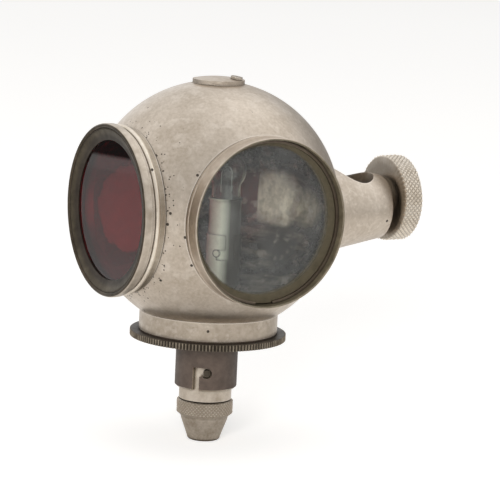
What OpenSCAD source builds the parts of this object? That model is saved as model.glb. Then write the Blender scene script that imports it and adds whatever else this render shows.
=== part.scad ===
// Car stop lamp: a spun ball body with a red lens, a clear side window, a clamp
// boss for a bracket peg, and a screw-in base with a bayonet cable connector.
// The origin is on the axis of the peg socket, at the height of the boss axis.
// +Z is up, the red lens faces -Y and the clear window faces +X.

/* [Body] */
// Outer radius of the ball body
body_r = 36; // [34:0.5:40]
// Wall of the ball body
body_wall = 0.9; // [0.6:0.1:1.4]
// Solder gap where a ring seats on the ball
seat_gap = 0.03; // [0.02:0.01:0.08]

/* [Bracket boss] */
// Wall from the ball to the middle of the peg socket
socket_stand = 8.5; // [8.4:0.1:14]
// Height of the lamp centre above the boss axis
lamp_rise = 1.6; // [0:0.1:3]
// Radius of the peg socket
socket_r = 7.8; // [5:0.1:8]
// Depth of the peg socket below the boss axis
socket_depth = 6.8; // [5:0.1:7.4]
// Wall between the peg socket and the end of the boss
boss_end_wall = 3.2; // [2.6:0.1:5]
// Radius of the boss at its end
boss_end_r = 9.6; // [9.4:0.1:12]
// Radius that the boss gains on each millimetre towards the ball
boss_taper = 0.17; // [0.08:0.01:0.2]
// Rounding of the end edge of the boss
boss_edge_r = 0.8; // [0.5:0.1:1.2]

/* [Thumb screw] */
// Height of the screw axis above the boss axis
screw_rise = 2.4; // [0:0.1:3]
// Radius of the screw
screw_r = 3; // [2:0.1:4]
// Radius of the blunt tip of the screw
screw_tip_r = 2.2; // [1.5:0.1:2.6]
// Distance of the resting screw tip from the peg socket
tip_rest = 0.2; // [0.1:0.05:0.5]
// Radius of the knurled head
head_r = 12.7; // [10:0.1:14]
// Width of the knurled head
head_w = 6.2; // [5:0.1:9]
// Gap between the boss and the washer at rest
clamp_gap = 0.9; // [0.85:0.05:1.4]
// Thickness of the washer under the head
washer_t = 0.8; // [0.5:0.1:1.2]
// Radius of the washer under the head
washer_r = 6; // [5:0.1:8]
// Diamonds around the rim of the head
diamond_count = 46; // [36:1:60]
// Depth of the diamond knurl
diamond_depth = 0.45; // [0.2:0.05:0.7]
// Chamfer at both edges of the rim
head_chamfer = 0.3; // [0.2:0.1:0.9]
// Depth of the dished recess in the back of the head
head_dish = 1; // [0.4:0.1:1.5]
// Width of the flat rim around the dished recess
head_rim_w = 2.8; // [2.5:0.05:5]

/* [Red lens] */
// Radius of the black retaining ring
ring_r = 22.9; // [21:0.1:25]
// Width of the black retaining ring
ring_w = 3.3; // [2.5:0.1:6]
// Width of the ledge that carries the black ring in the bezel
ring_ledge = 0.22; // [0.15:0.01:0.5]
// Thickness of the red glass
lens_t = 3; // [2:0.1:3.6]
// Radial play of the glass in its collar
lens_play = 0.2; // [0.1:0.05:0.4]
// Wall of the threaded spigot of the collar
spigot_wall = 1.2; // [0.9:0.1:1.4]
// Wall of the skirt of the bezel
skirt_wall = 0.7; // [0.5:0.1:0.9]
// Thickness of the lip of the bezel around the black ring
bezel_lip = 1.3; // [0.9:0.05:2]
// Width of the outer band of the bezel
bezel_w = 2.2; // [1.9:0.1:3]
// Width of the groove behind the band
groove_w = 1.35; // [1.1:0.05:1.8]
// Height of the bead of the collar over the skirt of the bezel
bead_out = 0.62; // [0.5:0.02:1.2]
// Width of the bead on the collar
bead_w = 1; // [0.8:0.1:1.4]
// Height of the bead above the ball
collar_rise = 2.6; // [2.2:0.1:4]
// Wall of the collar where it passes into the ball
tail_wall = 1.4; // [1:0.1:1.6]
// Spread of the fillet at the foot of the collar
fillet_spread = 0.9; // [0.4:0.1:1.2]
// Thickness of the inner edge of the black retaining ring
ring_edge = 0.4; // [0.3:0.1:0.8]
// Depth of the black ring below the face of the bezel
ring_recess = 0.4; // [0.2:0.1:0.8]
// Distance of the back of the black ring from the back of the band
ring_step = 0.35; // [0.2:0.05:0.5]
// Thickness of the gasket behind the glass
lens_gasket_t = 0.6; // [0.4:0.1:1]

/* [Side window] */
// Radius of the window glass
pane_r = 22.6; // [21:0.1:22.8]
// Thickness of the window glass
pane_t = 2.3; // [1.8:0.1:2.8]
// Wall of the window rim
rim_wall = 0.72; // [0.6:0.02:1]
// Radial play of the pane in the rim
pane_play = 0.3; // [0.2:0.05:0.5]
// Height of the rim above the ball
rim_rise = 5.95; // [5.6:0.05:7]
// Radius of the rolled edge of the rim
rim_bead_r = 0.5; // [0.4:0.05:0.7]
// Width of the ledge that carries the glass
ledge_w = 1.6; // [1.2:0.1:2.4]
// Thickness of the ledges that carry both glasses
ledge_t = 0.8; // [0.6:0.1:1.2]
// Thickness of the gasket behind the pane
pane_gasket_t = 0.5; // [0.4:0.1:0.8]
// Width of the spring ring in front of the pane
snap_w = 0.7; // [0.5:0.05:1]
// Height of the spring ring
snap_h = 0.9; // [0.6:0.1:1.2]
// Angle left open in the spring ring
snap_open = 14; // [8:1:30]

/* [Top plate] */
// Radius of the plate on the crown
plate_r = 7.4; // [6:0.1:9]
// Thickness of the plate on the crown
plate_t = 1.2; // [0.8:0.1:1.8]
// Distance of the plate screw from the edge of the plate
plate_screw_edge = 2.2; // [1.9:0.1:3]
// Direction of the plate screw
plate_screw_turn = 38; // [0:1:90]
// Radius of the plate screw
plate_screw_r = 0.9; // [0.6:0.1:1.2]
// Radius of the head of the plate screw
plate_head_r = 1.7; // [1.5:0.1:2]
// Height of the head of the plate screw
plate_head_h = 0.7; // [0.5:0.1:1.2]

/* [Neck and base] */
// Outer radius of the neck ring
neck_r = 19.85; // [19.6:0.05:20.6]
// Height of the neck ring below the ball
neck_h = 5.45; // [5.3:0.05:8]
// Wall of the neck ring
neck_wall = 1.9; // [1.8:0.1:2.2]
// Step from the neck ring to its tail in the ball
neck_step = 0.95; // [0.6:0.05:1.1]
// Thickness of the packing washer on the flange
packing_t = 0.35; // [0.25:0.05:0.8]
// Radius of the knurled flange
flange_r = 22.4; // [21.5:0.1:24]
// Thickness of the knurled flange
flange_t = 1.75; // [1.4:0.05:2.5]
// Pitch of the straight knurl
knurl_pitch = 0.98; // [0.9:0.02:1.6]
// Depth of the straight knurl
knurl_depth = 0.35; // [0.2:0.05:0.5]
// Height of the threaded spigot of the base
base_spigot_h = 4; // [3.5:0.1:4.5]
// Wall of the threaded spigot of the base
base_spigot_wall = 2; // [1.5:0.1:2.5]

/* [Connector] */
// Radius of the plug
plug_r = 7.55; // [7.5:0.05:8.2]
// Wall of the socket tube around the plug
tube_wall = 1.29; // [1.1:0.01:1.6]
// Length of the socket tube below the flange
tube_h = 14.4; // [14:0.1:17]
// Thickness of the roof of the socket tube
tube_roof = 1.2; // [1:0.1:1.6]
// Chamfer at the mouth of the socket tube
tube_chamfer = 0.5; // [0.3:0.1:0.8]
// Radius of the spigot that holds the tube in the flange
tube_spigot_r = 6.5; // [6.3:0.1:7]
// Radius of the boss of the socket insulator
insulator_boss_r = 5.6; // [5.3:0.1:5.8]
// Thickness of the socket insulator
insulator_t = 2.2; // [1.8:0.1:2.4]
// Distance of both contacts from the axis
contact_reach = 3.5; // [3.2:0.1:3.7]
// Radius of the contact shanks
contact_r = 0.8; // [0.6:0.05:0.9]
// Radius of the contact heads
contact_head_r = 1.6; // [1.2:0.1:1.8]
// Thickness of the contact heads
contact_head_t = 0.5; // [0.3:0.1:0.6]
// Radius of the bayonet pins of the plug
plug_pin_r = 0.9; // [0.7:0.05:0.92]
// Height of the plug pins above the mouth of the tube
plug_pin_h = 5.25; // [4.5:0.05:6]
// Direction of the first plug pin
plug_pin_turn = -28; // [-60:1:0]
// Turn of the plug in its slots
plug_turn = 20; // [18:1:24]
// Width of the upright leg of the plug slot
slot_w = 2; // [1.9:0.05:2.3]
// Height of the plug slot above the pin
slot_over = 1.55; // [1.3:0.05:1.8]
// Depth of the plug slot below the pin
slot_under = 1; // [0.97:0.01:1.2]
// Radius of the pocket at the end of the plug slot
pocket_r = 1.5; // [1.3:0.05:1.7]
// Wall of the plug shell
plug_wall = 1.1; // [0.9:0.05:1.2]
// Length of the plug shell inside the tube
plug_in = 9; // [8.8:0.1:9.4]
// Length of the plug shell below the tube
plug_out = 3.4; // [2.8:0.1:5]
// Radius of the threaded spigot of the plug
plug_spigot_r = 6.3; // [6.1:0.05:6.6]
// Length of the threaded spigot of the plug
plug_spigot_h = 3.4; // [3:0.1:4]
// Wall of the threaded spigot of the plug
plug_spigot_wall = 1.1; // [0.9:0.1:1.3]
// Length of the plug insulator
plug_insulator_h = 8.8; // [8.6:0.1:9.4]
// Floor below the springs of the plug insulator
spring_floor = 1.4; // [1:0.1:1.8]
// Radius of the contact plungers
plunger_r = 1.5; // [1.3:0.05:1.6]
// Radius of the tips of the contact plungers
plunger_tip_r = 1; // [0.8:0.05:1.05]
// Length of the body of the contact plungers
plunger_h = 2.5; // [2:0.1:2.8]
// Lip that keeps a plunger in its insulator
plunger_lip = 1; // [0.7:0.1:1.2]

/* [Gland nut] */
// Radius of the knurled band of the gland nut
gland_r = 8.15; // [7.8:0.05:9]
// Gap between the plug shell and the gland nut
gland_gap = 0.35; // [0.2:0.05:0.8]
// Height of the knurled band
gland_band_h = 4.2; // [2.6:0.1:5]
// Radius at the foot of the hollow shoulder
gland_shoulder_r = 6.75; // [6.3:0.05:7]
// Height of the hollow shoulder
gland_shoulder_h = 1.4; // [1:0.1:3]
// Radius at the foot of the cone
gland_foot_r = 4.8; // [4.5:0.05:5.8]
// Height of the cone
gland_cone_h = 5.3; // [4.5:0.1:7]
// Rounding at the foot of the cone
gland_round = 1; // [0.6:0.1:1.2]
// Chamfer at both edges of the knurled band
gland_edge = 0.3; // [0.2:0.05:0.5]
// Radius of the cable hole
cable_r = 3; // [2.4:0.1:3.2]
// Wall of the clamping cone around the cable
ferrule_wall = 0.9; // [0.6:0.1:1]
// Spread of the clamping cone at its top
ferrule_spread = 1.2; // [0.8:0.1:1.3]
// Height of the clamping cone
ferrule_h = 3.8; // [3:0.1:4.6]
// Width of the slits in the clamping cone
ferrule_slit = 0.8; // [0.5:0.1:1.2]
// Length of the slits in the clamping cone
ferrule_slit_h = 2.3; // [1.5:0.1:2.6]

/* [Bulb holder] */
// Height of the rim of the holder above the flange
holder_top = 28.2; // [26:0.1:31]
// Height of the foot of the barrel above the flange
holder_foot = 13.9; // [12.5:0.1:15]
// Wall of the holder barrel
barrel_wall = 0.35; // [0.3:0.05:0.6]
// Height of the shoulder plug inside the barrel
shoulder_h = 1.2; // [0.8:0.1:1.6]
// Height of the cone below the barrel
stem_cone_h = 3; // [2:0.1:4]
// Radius of the stem
stem_r = 2.7; // [2.6:0.05:3.2]
// Radius of the foot plate
foot_r = 9.6; // [9.2:0.1:10.5]
// Thickness of the foot plate
foot_t = 1.2; // [1:0.1:1.6]
// Distance of the foot screws from the edge of the foot plate
foot_screw_edge = 1.8; // [1.4:0.1:2.2]
// Radius of the foot screws
foot_screw_r = 0.8; // [0.6:0.05:0.9]
// Wall of the insulating sleeve
sleeve_wall = 0.4; // [0.3:0.05:0.5]
// Height of the collar of the insulating sleeve
sleeve_collar_h = 1.4; // [1:0.1:1.8]
// Height of the foot of the holder spring above the flange
holder_spring_foot = 4.9; // [4:0.1:6]
// Reach of the holder plunger above its sleeve
plunger_reach = 1.1; // [0.8:0.1:1.5]
// Length of the body of the holder plunger
holder_plunger_h = 3.4; // [2.8:0.1:4]

/* [Bulb] */
// Radius of the bulb cap
cap_r = 4.55; // [4.4:0.05:4.7]
// Wall of the bulb cap
cap_wall = 0.35; // [0.3:0.05:0.5]
// Length of the bulb cap
cap_h = 20; // [19:0.1:22]
// Height of the contact nose below the cap
bulb_nose_h = 0.9; // [0.6:0.1:1.2]
// Height of the bulb pins above the foot of the cap
bulb_pin_h = 4.4; // [4:0.1:5]
// Radius of the bulb pins
bulb_pin_r = 0.95; // [0.8:0.05:1]
// Direction of the first bulb pin
bulb_pin_turn = -55; // [-70:1:-40]
// Turn of the bulb in its slots
bulb_turn = 47; // [40:1:55]
// Width of the upright leg of the bulb slot
bulb_slot_w = 2.6; // [2.4:0.1:3]
// Depth of the bulb slot below the pin
bulb_slot_under = 1.9; // [1.3:0.1:2.2]
// Height of the bulb slot above the pin
bulb_slot_over = 1.1; // [1.05:0.05:1.3]
// Radius of the bulb globe
globe_r = 5.6; // [5:0.1:6]
// Height of the globe above the rim of the cap
globe_rise = 7.8; // [7:0.1:9]
// Radial play of the glass neck in the cap
globe_neck_play = 0.1; // [0.05:0.05:0.5]
// Wall of the bulb glass
globe_wall = 0.4; // [0.3:0.05:0.6]
// Depth of the glass neck in the cap
globe_neck_h = 3; // [2:0.1:4]
// Span of the filament
filament_span = 3.4; // [2.4:0.1:4]
// Rise of the filament arch
filament_rise = 2.2; // [1.4:0.1:3]
// Radius of the filament and its lead wires
filament_r = 0.16; // [0.1:0.01:0.2]
// Radius of the glass stem that carries the filament
glass_stem_r = 1.7; // [1.4:0.05:1.8]

/* [Fits] */
// Running clearance of threads and turning fits
thread_gap = 0.08; // [0.05:0.01:0.1]
// Gap between faces that touch
face_gap = 0.04; // [0.02:0.01:0.08]
// Clearance around pressed and dropped-in pieces
drop_gap = 0.05; // [0.03:0.01:0.1]

/* [Hidden] */
$fn = 96;
over = 1;

// Distance of the plate screw from the crown
plate_screw_reach = plate_r - plate_screw_edge;

// Places along the boss
lamp_reach = body_r + socket_stand;
lamp_centre = [0, -lamp_reach, lamp_rise];
boss_end = socket_r + boss_end_wall;
screw_tip = socket_r + tip_rest;
washer_face = boss_end + clamp_gap;
head_face = washer_face + washer_t + face_gap;
head_back = head_face + head_w;

// Radii and heights of the red lens, from the lamp centre outwards
ring_bore_r = ring_r - ring_w;
bezel_r = ring_r + drop_gap + bezel_lip;
bezel_bore_r = ring_r - ring_ledge;
spigot_r = bezel_bore_r - thread_gap;
collar_bore_r = spigot_r - spigot_wall;
lens_r = collar_bore_r - lens_play;
skirt_r = bezel_bore_r + skirt_wall;
bead_r = skirt_r + bead_out;
tail_r = collar_bore_r + tail_wall;
collar_seat = sphere_height(skirt_r);
bead_back = collar_seat + collar_rise;
bead_front = bead_back + bead_w;
bezel_back = bead_front + face_gap;
band_back = bead_front + groove_w;
bezel_face = band_back + bezel_w;
ring_face = bezel_face - ring_recess;
ring_back = band_back + ring_step;
lens_front = ring_back - face_gap;
lens_back = lens_front - lens_t;
lens_ledge = lens_back - lens_gasket_t - 2 * face_gap;
lens_ledge_r = lens_r - ledge_w;

// Radii and heights of the side window, from the lamp centre outwards
rim_bore_r = pane_r + pane_play;
rim_r = rim_bore_r + rim_wall;
rim_seat = sphere_height(rim_r);
rim_face = rim_seat + rim_rise;
pane_ledge_r = pane_r - ledge_w;
pane_ledge = rim_seat - body_wall + ledge_t;
pane_back = pane_ledge + pane_gasket_t + 2 * face_gap;
pane_front = pane_back + pane_t;

// Heights of the base, from the lamp centre
neck_seat = -sphere_height(neck_r);
neck_bottom = neck_seat - neck_h;
neck_bore_r = neck_r - neck_wall;
neck_tail_r = neck_r - neck_step;
neck_tail_top = -sqrt(pow(body_r - body_wall, 2) - pow(neck_tail_r, 2)) + body_wall;
flange_top = neck_bottom - packing_t - 2 * face_gap;
flange_bottom = flange_top - flange_t;
base_spigot_r = neck_bore_r - thread_gap;

// Heights of the connector, from the lamp centre
tube_r = plug_r + thread_gap + tube_wall;
tube_mouth = flange_bottom - face_gap - tube_h;
tube_top = flange_bottom - face_gap;
insulator_top = tube_top - tube_roof - face_gap;
insulator_bottom = insulator_top - insulator_t;
contact_face = insulator_bottom - contact_head_t - face_gap;
plug_pin_z = tube_mouth + plug_pin_h;
plug_top = tube_mouth + plug_in;
plug_bottom = tube_mouth - plug_out;
plug_bore_r = plug_r - plug_wall;
plug_insulator_bottom = plug_top - plug_insulator_h;
plunger_stop = plug_top - plunger_lip - face_gap;
plunger_foot = plunger_stop - plunger_h;
plug_spring_foot = plug_insulator_bottom + spring_floor + face_gap;
plug_spring_h = plunger_foot - face_gap - plug_spring_foot;

// Heights of the gland nut, from the lamp centre
gland_top = plug_bottom - gland_gap;
gland_band = gland_top - gland_band_h;
gland_shoulder = gland_band - gland_shoulder_h;
gland_foot = gland_shoulder - gland_cone_h;
gland_bottom = gland_foot - gland_round;
ferrule_top = plug_bottom - plug_spigot_h - face_gap;
ferrule_bottom = ferrule_top - ferrule_h;
ferrule_r = cable_r + ferrule_wall;

// Heights of the bulb holder, from the lamp centre; the bulb stands over the rear contact
bulb_offset = contact_reach;
barrel_bore_r = cap_r + drop_gap;
barrel_r = barrel_bore_r + barrel_wall;
barrel_top = flange_top + holder_top;
barrel_foot = flange_top + holder_foot;
shoulder_top = barrel_foot + shoulder_h;
sleeve_bottom = flange_top + face_gap;
sleeve_bore_r = plunger_r + drop_gap;
sleeve_r = sleeve_bore_r + sleeve_wall;
sleeve_collar_top = shoulder_top + face_gap + sleeve_collar_h;
holder_plunger_stop = sleeve_collar_top - plunger_lip - face_gap;
holder_plunger_foot = holder_plunger_stop - holder_plunger_h;
holder_spring_z = flange_top + holder_spring_foot + face_gap;
holder_spring_h = holder_plunger_foot - face_gap - holder_spring_z;
foot_bottom = flange_top + face_gap;
foot_screw_reach = foot_r - foot_screw_edge;

// Heights of the bulb, from the lamp centre
bulb_contact_face = sleeve_collar_top + plunger_reach;
cap_foot = bulb_contact_face + bulb_nose_h;
cap_rim = cap_foot + cap_h;
bulb_pin_z = cap_foot + bulb_pin_h;
globe_z = cap_rim + globe_rise;
globe_foot = cap_rim - globe_neck_h;
globe_neck_r = cap_r - cap_wall - globe_neck_play;

// Springs: wire, play inside the plunger's bore and winding
spring_wire_r = 0.2;
spring_play = 0.1;
spring_mean_r = plunger_r - spring_wire_r - spring_play;
rings_per_curl = 8;
wire_sides = 6;
plug_curls = 3.5;
holder_curls = 6;

function sphere_height(r) = sqrt(body_r * body_r - r * r);

function arc(cx, cy, r, from, to, steps) =
    [for (i = [0:steps]) let (a = from + (to - from) * i / steps) [cx + r * cos(a), cy + r * sin(a)]];

// Faces of a closed skin over rings of points, each ring with the same number of points
function skin_sides(rings, sides) = [
    for (i = [0:rings - 2], j = [0:sides - 1], half = [0, 1])
        let (a = i * sides + j, b = i * sides + (j + 1) % sides)
        half == 0 ? [a, b, b + sides] : [a, b + sides, a + sides]
];

function skin_caps(rings, sides) = [
    for (j = [1:sides - 2], end = [0, 1])
        let (base = (rings - 1) * sides)
        end == 0 ? [0, j + 1, j] : [base, base + j, base + j + 1]
];

// Rings around a path: each entry of the path holds a point and two unit vectors across it
function tube_points(path, r, sides) = [
    for (step = path, j = [0:sides - 1])
        step[0] + r * (cos(360 * j / sides) * step[1] + sin(360 * j / sides) * step[2])
];

function helix(r, h, curls) = [
    for (i = [0:curls * rings_per_curl])
        let (turn = 360 * i / rings_per_curl)
        let (climb = h / (2 * PI * r * curls), long = sqrt(1 + climb * climb))
        [
            [r * cos(turn), r * sin(turn), h * i / (curls * rings_per_curl)],
            [cos(turn), sin(turn), 0],
            [climb * sin(turn), -climb * cos(turn), 1] / long
        ]
];

// Smallest distance between points of a winding that are more than half a curl apart
function winding_gap(path, wire_r) = min([
    for (i = [0:len(path) - 1], j = [i + rings_per_curl / 2 + 1:1:len(path) - 1])
        norm(path[i][0] - path[j][0])
]) - 2 * wire_r;

plug_helix = helix(spring_mean_r, plug_spring_h - 2 * spring_wire_r, plug_curls);
holder_helix = helix(spring_mean_r, holder_spring_h - 2 * spring_wire_r, holder_curls);
echo(plug_spring_gap = winding_gap(plug_helix, spring_wire_r));
echo(holder_spring_gap = winding_gap(holder_helix, spring_wire_r));

// Frames: each turns its own +Z to the way that a feature faces
module at_lamp() {
    translate(lamp_centre) children();
}

module facing_front() {
    at_lamp() rotate([90, 0, 0]) children();
}

module facing_side() {
    at_lamp() rotate([0, 90, 0]) children();
}

module facing_back() {
    rotate([-90, 0, 0]) children();
}

module on_screw() {
    translate([0, 0, screw_rise]) facing_back() children();
}

module on_bulb() {
    at_lamp() translate([0, bulb_offset, 0]) children();
}

module at_plate_screw() {
    at_lamp() rotate([0, asin(plate_screw_reach / body_r), plate_screw_turn]) children();
}

// A tube between two heights
module tube(r, bore_r, from, to) {
    difference() {
        translate([0, 0, from]) cylinder(r = r, h = to - from);
        translate([0, 0, from - over]) cylinder(r = bore_r, h = to - from + 2 * over);
    }
}

module rod(r, from, to) {
    translate([0, 0, from]) cylinder(r = r, h = to - from);
}

module cone(r_from, r_to, from, to) {
    translate([0, 0, from]) cylinder(r1 = r_from, r2 = r_to, h = to - from);
}

// A ring of round section
module bead(r, section_r, z) {
    translate([0, 0, z]) rotate_extrude() translate([r, 0]) circle(r = section_r);
}

module coil(path, z) {
    rings = len(path);
    translate([0, 0, z]) polyhedron(
        points = tube_points(path, spring_wire_r, wire_sides),
        faces = concat(skin_sides(rings, wire_sides), skin_caps(rings, wire_sides))
    );
}

// Ball body

module body_shell() {
    color("#c4bbae") difference() {
        at_lamp() sphere(r = body_r);
        at_lamp() sphere(r = body_r - body_wall);
        facing_front() rod(tail_r + seat_gap, 0, body_r);
        facing_side() rod(rim_r + seat_gap, 0, body_r);
        at_lamp() rod(neck_tail_r + seat_gap, -body_r, 0);
        at_plate_screw() rod(plate_screw_r + drop_gap, 0, body_r + over);
    }
}

module top_plate() {
    color("#cfc8bd") difference() {
        intersection() {
            at_lamp() sphere(r = body_r + plate_t);
            at_lamp() rod(plate_r, 0, body_r + plate_t);
        }
        at_lamp() sphere(r = body_r + seat_gap);
        at_plate_screw() rod(plate_screw_r + drop_gap, 0, body_r + 2 * plate_t);
    }
}

module plate_screw() {
    seat = body_r + plate_t + face_gap;
    slit_w = plate_head_r / 3;
    color("#b9b0a2") at_plate_screw() difference() {
        union() {
            rod(plate_screw_r, body_r - body_wall - over, seat + plate_head_h / 2);
            rod(plate_head_r, seat, seat + plate_head_h);
        }
        translate([-plate_head_r, -slit_w / 2, seat + plate_head_h / 2])
            cube([2 * plate_head_r, slit_w, plate_head_h]);
    }
}

// Red lens

module lens_collar() {
    edge = bead_w / 2;
    foot_r = skirt_r + fillet_spread;
    foot = sphere_height(foot_r) - fillet_spread / 2;
    color("#c4bbae") facing_front() difference() {
        union() {
            rod(tail_r, collar_seat - 2 * body_wall, bead_back);
            difference() {
                union() {
                    rod(skirt_r, foot, bead_front);
                    cone(foot_r, skirt_r, foot, bead_back - edge);
                }
                sphere(r = body_r + seat_gap);
            }
            rod(bead_r - edge, bead_back, bead_front);
            bead(bead_r - edge, edge, bead_back + edge);
            rod(spigot_r, bead_back, lens_front);
        }
        rod(collar_bore_r, lens_ledge, lens_front + over);
        rod(lens_ledge_r, 0, lens_front);
        rod(collar_bore_r, 0, lens_ledge - ledge_t);
    }
}

module lens_gasket() {
    color("#5b4a3a") facing_front()
        tube(lens_r, lens_ledge_r, lens_ledge + face_gap, lens_back - face_gap);
}

module red_lens() {
    color("#7d1626", 0.8) facing_front() rod(lens_r, lens_back, lens_front);
}

module lens_retaining_ring() {
    color("#2c2926") facing_front() rotate_extrude() polygon([
        [ring_bore_r, ring_back],
        [ring_r, ring_back],
        [ring_r, ring_face],
        [ring_r - ring_edge, ring_face],
        [ring_bore_r, ring_back + ring_edge]
    ]);
}

module lens_bezel() {
    lip = bezel_lip / 2;
    lip_mid = bezel_r - lip;
    color("#cbc3b7") facing_front() difference() {
        union() {
            rod(skirt_r, bezel_back, bezel_face - lip);
            rod(bezel_r, band_back, bezel_face - lip);
            bead(lip_mid, lip, bezel_face - lip);
        }
        rod(bezel_bore_r, bezel_back - over, bezel_face);
        rod(ring_r + drop_gap, ring_back - face_gap, bezel_face);
    }
}

// Side window

module window_rim() {
    foot = sphere_height(rim_r + fillet_spread) - fillet_spread / 2;
    tail = rim_seat - body_wall;
    color("#c4bbae") facing_side() difference() {
        union() {
            rod(rim_r, tail, rim_face - rim_bead_r);
            difference() {
                cone(rim_r + fillet_spread, rim_r, foot, rim_seat + fillet_spread);
                sphere(r = body_r + seat_gap);
            }
            bead(rim_r, rim_bead_r, rim_face - rim_bead_r);
        }
        rod(rim_bore_r, pane_ledge, rim_face + over);
        rod(pane_ledge_r, 0, rim_face);
    }
}

module window_gasket() {
    color("#4a4038") facing_side()
        tube(pane_r, pane_ledge_r, pane_ledge + face_gap, pane_back - face_gap);
}

module window_glass() {
    color("#9fb2b4", 0.4) facing_side() rod(pane_r, pane_back, pane_front);
}

module window_spring_ring() {
    ring_out = rim_bore_r - drop_gap;
    color("#5e5446") facing_side() translate([0, 0, pane_front + face_gap])
        rotate([0, 0, snap_open / 2]) rotate_extrude(angle = 360 - snap_open)
            translate([ring_out - snap_w, 0]) square([snap_w, snap_h]);
}

// Bracket boss and its thumb screw

module bracket_boss() {
    root = -socket_stand - lamp_rise - over;
    root_r = boss_end_r + boss_taper * (boss_end - root);
    flat_r = boss_end_r - boss_edge_r;
    color("#c4bbae") difference() {
        union() {
            facing_back() cone(root_r, boss_end_r, root, boss_end - boss_edge_r);
            facing_back() rod(flat_r, root, boss_end);
            facing_back() bead(flat_r, boss_edge_r, boss_end - boss_edge_r);
        }
        at_lamp() sphere(r = body_r + seat_gap);
        rod(socket_r, -socket_depth, root_r + over);
        on_screw() rod(screw_r + thread_gap, 0, boss_end + over);
    }
}

module clamp_washer() {
    color("#8d8376") on_screw()
        tube(washer_r, screw_r + thread_gap, washer_face, washer_face + washer_t);
}

module clamp_screw() {
    point = (screw_r - screw_tip_r) / 2;
    color("#a89e90") on_screw() union() {
        rod(screw_r, screw_tip + point, head_back - head_dish);
        cone(screw_tip_r, screw_r, screw_tip, screw_tip + point);
    }
}

// Rim of the head: points stand out and lie back in turn around and along it
module thumb_nut() {
    sides = 2 * diamond_count;
    bore_r = screw_r + drop_gap;
    rows = 2 * round((head_w - 2 * head_chamfer) * sides / (4 * PI * head_r));
    low_r = head_r - diamond_depth;
    edge_r = low_r - head_chamfer / 2;
    dish_r = edge_r - head_rim_w;
    row_h = (head_w - 2 * head_chamfer) / rows;
    // Radius for the points with even and odd numbers, and height
    loop = concat(
        [[bore_r, bore_r, head_face], [edge_r, edge_r, head_face]],
        [for (i = [0:rows]) [
            i % 2 == 0 ? head_r : low_r, i % 2 == 0 ? low_r : head_r,
            head_face + head_chamfer + i * row_h
        ]],
        [[edge_r, edge_r, head_back], [dish_r, dish_r, head_back],
         [dish_r - head_dish, dish_r - head_dish, head_back - head_dish],
         [bore_r, bore_r, head_back - head_dish],
         [bore_r, bore_r, head_face]]
    );
    rings = len(loop) - 1;
    points = [for (i = [0:rings - 1], j = [0:sides - 1])
        [loop[i][j % 2] * cos(360 * j / sides), loop[i][j % 2] * sin(360 * j / sides), loop[i][2]]];
    faces = [for (f = skin_sides(rings + 1, sides)) [for (v = f) v % (rings * sides)]];
    color("#cfc7ba") on_screw() polyhedron(points = points, faces = faces);
}

// Neck and base

module neck_ring() {
    color("#c4bbae") at_lamp() difference() {
        union() {
            difference() {
                rod(neck_r, neck_bottom, neck_seat + body_wall);
                sphere(r = body_r + seat_gap);
            }
            rod(neck_tail_r, neck_seat, neck_tail_top);
            rod(neck_tail_r, neck_bottom, neck_seat);
        }
        rod(neck_bore_r, neck_bottom - over, neck_tail_top + over);
    }
}

module base_packing() {
    color("#3a332c") at_lamp()
        tube(neck_r - drop_gap, neck_bore_r, flange_top + face_gap, neck_bottom - face_gap);
}

module base_flange() {
    teeth = round(2 * PI * flange_r / knurl_pitch);
    rim = [for (i = [0:2 * teeth - 1])
        let (r = i % 2 == 0 ? flange_r : flange_r - knurl_depth)
        [r * cos(180 * i / teeth), r * sin(180 * i / teeth)]];
    color("#3b3530") difference() {
        at_lamp() union() {
            translate([0, 0, flange_bottom]) linear_extrude(height = flange_t) polygon(rim);
            tube(base_spigot_r, base_spigot_r - base_spigot_wall,
                 flange_bottom, flange_top + base_spigot_h);
        }
        at_lamp() rod(tube_spigot_r + drop_gap, flange_bottom - over, flange_top + over);
        at_foot_screws() rod(foot_screw_r + drop_gap, flange_bottom - over, flange_top + over);
    }
}

// Connector socket

// Bayonet slot around the axis: a pocket for the pin, a level leg and an upright leg that
// runs out of the edge at the height called out
module bayonet_slot(bore_r, pin_z, pin_r, turn, under, above, leg_w, out) {
    deep = bore_r / 2;
    cut_r = 2 * bore_r;
    low = min(out, pin_z - under);
    translate([0, 0, pin_z]) rotate([0, 90, 0]) rod(pin_r, deep, cut_r);
    rotate([0, 0, min(turn, 0)]) translate([0, 0, pin_z - under])
        rotate_extrude(angle = abs(turn)) translate([deep, 0]) square([cut_r - deep, under + above]);
    rotate([0, 0, turn]) translate([deep, -leg_w / 2, low])
        cube([cut_r - deep, leg_w, max(out, pin_z + above) - low]);
}

module plug_slots() {
    for (side = [0, 180])
        rotate([0, 0, plug_pin_turn + side])
            bayonet_slot(plug_r, plug_pin_z, pocket_r, -plug_turn, slot_under,
                         slot_over, slot_w, tube_mouth - over);
}

module connector_socket() {
    bore_r = plug_r + thread_gap;
    color("#463c36") at_lamp() difference() {
        union() {
            rod(tube_r, tube_mouth + tube_chamfer, tube_top);
            cone(tube_r - tube_chamfer, tube_r, tube_mouth, tube_mouth + tube_chamfer);
            rod(tube_spigot_r, tube_top - tube_roof, flange_top);
        }
        rod(bore_r, tube_mouth - over, tube_top - tube_roof);
        rod(insulator_boss_r + drop_gap, tube_top - 2 * tube_roof, flange_top + over);
        plug_slots();
    }
}

module socket_insulator() {
    color("#7a5a3a") at_lamp() difference() {
        union() {
            rod(plug_r, insulator_bottom, insulator_top);
            rod(insulator_boss_r, insulator_bottom, flange_top);
        }
        for (side = [-1, 1])
            translate([0, side * contact_reach, 0])
                rod(contact_r + drop_gap, insulator_bottom - over, flange_top + over);
    }
}

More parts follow.
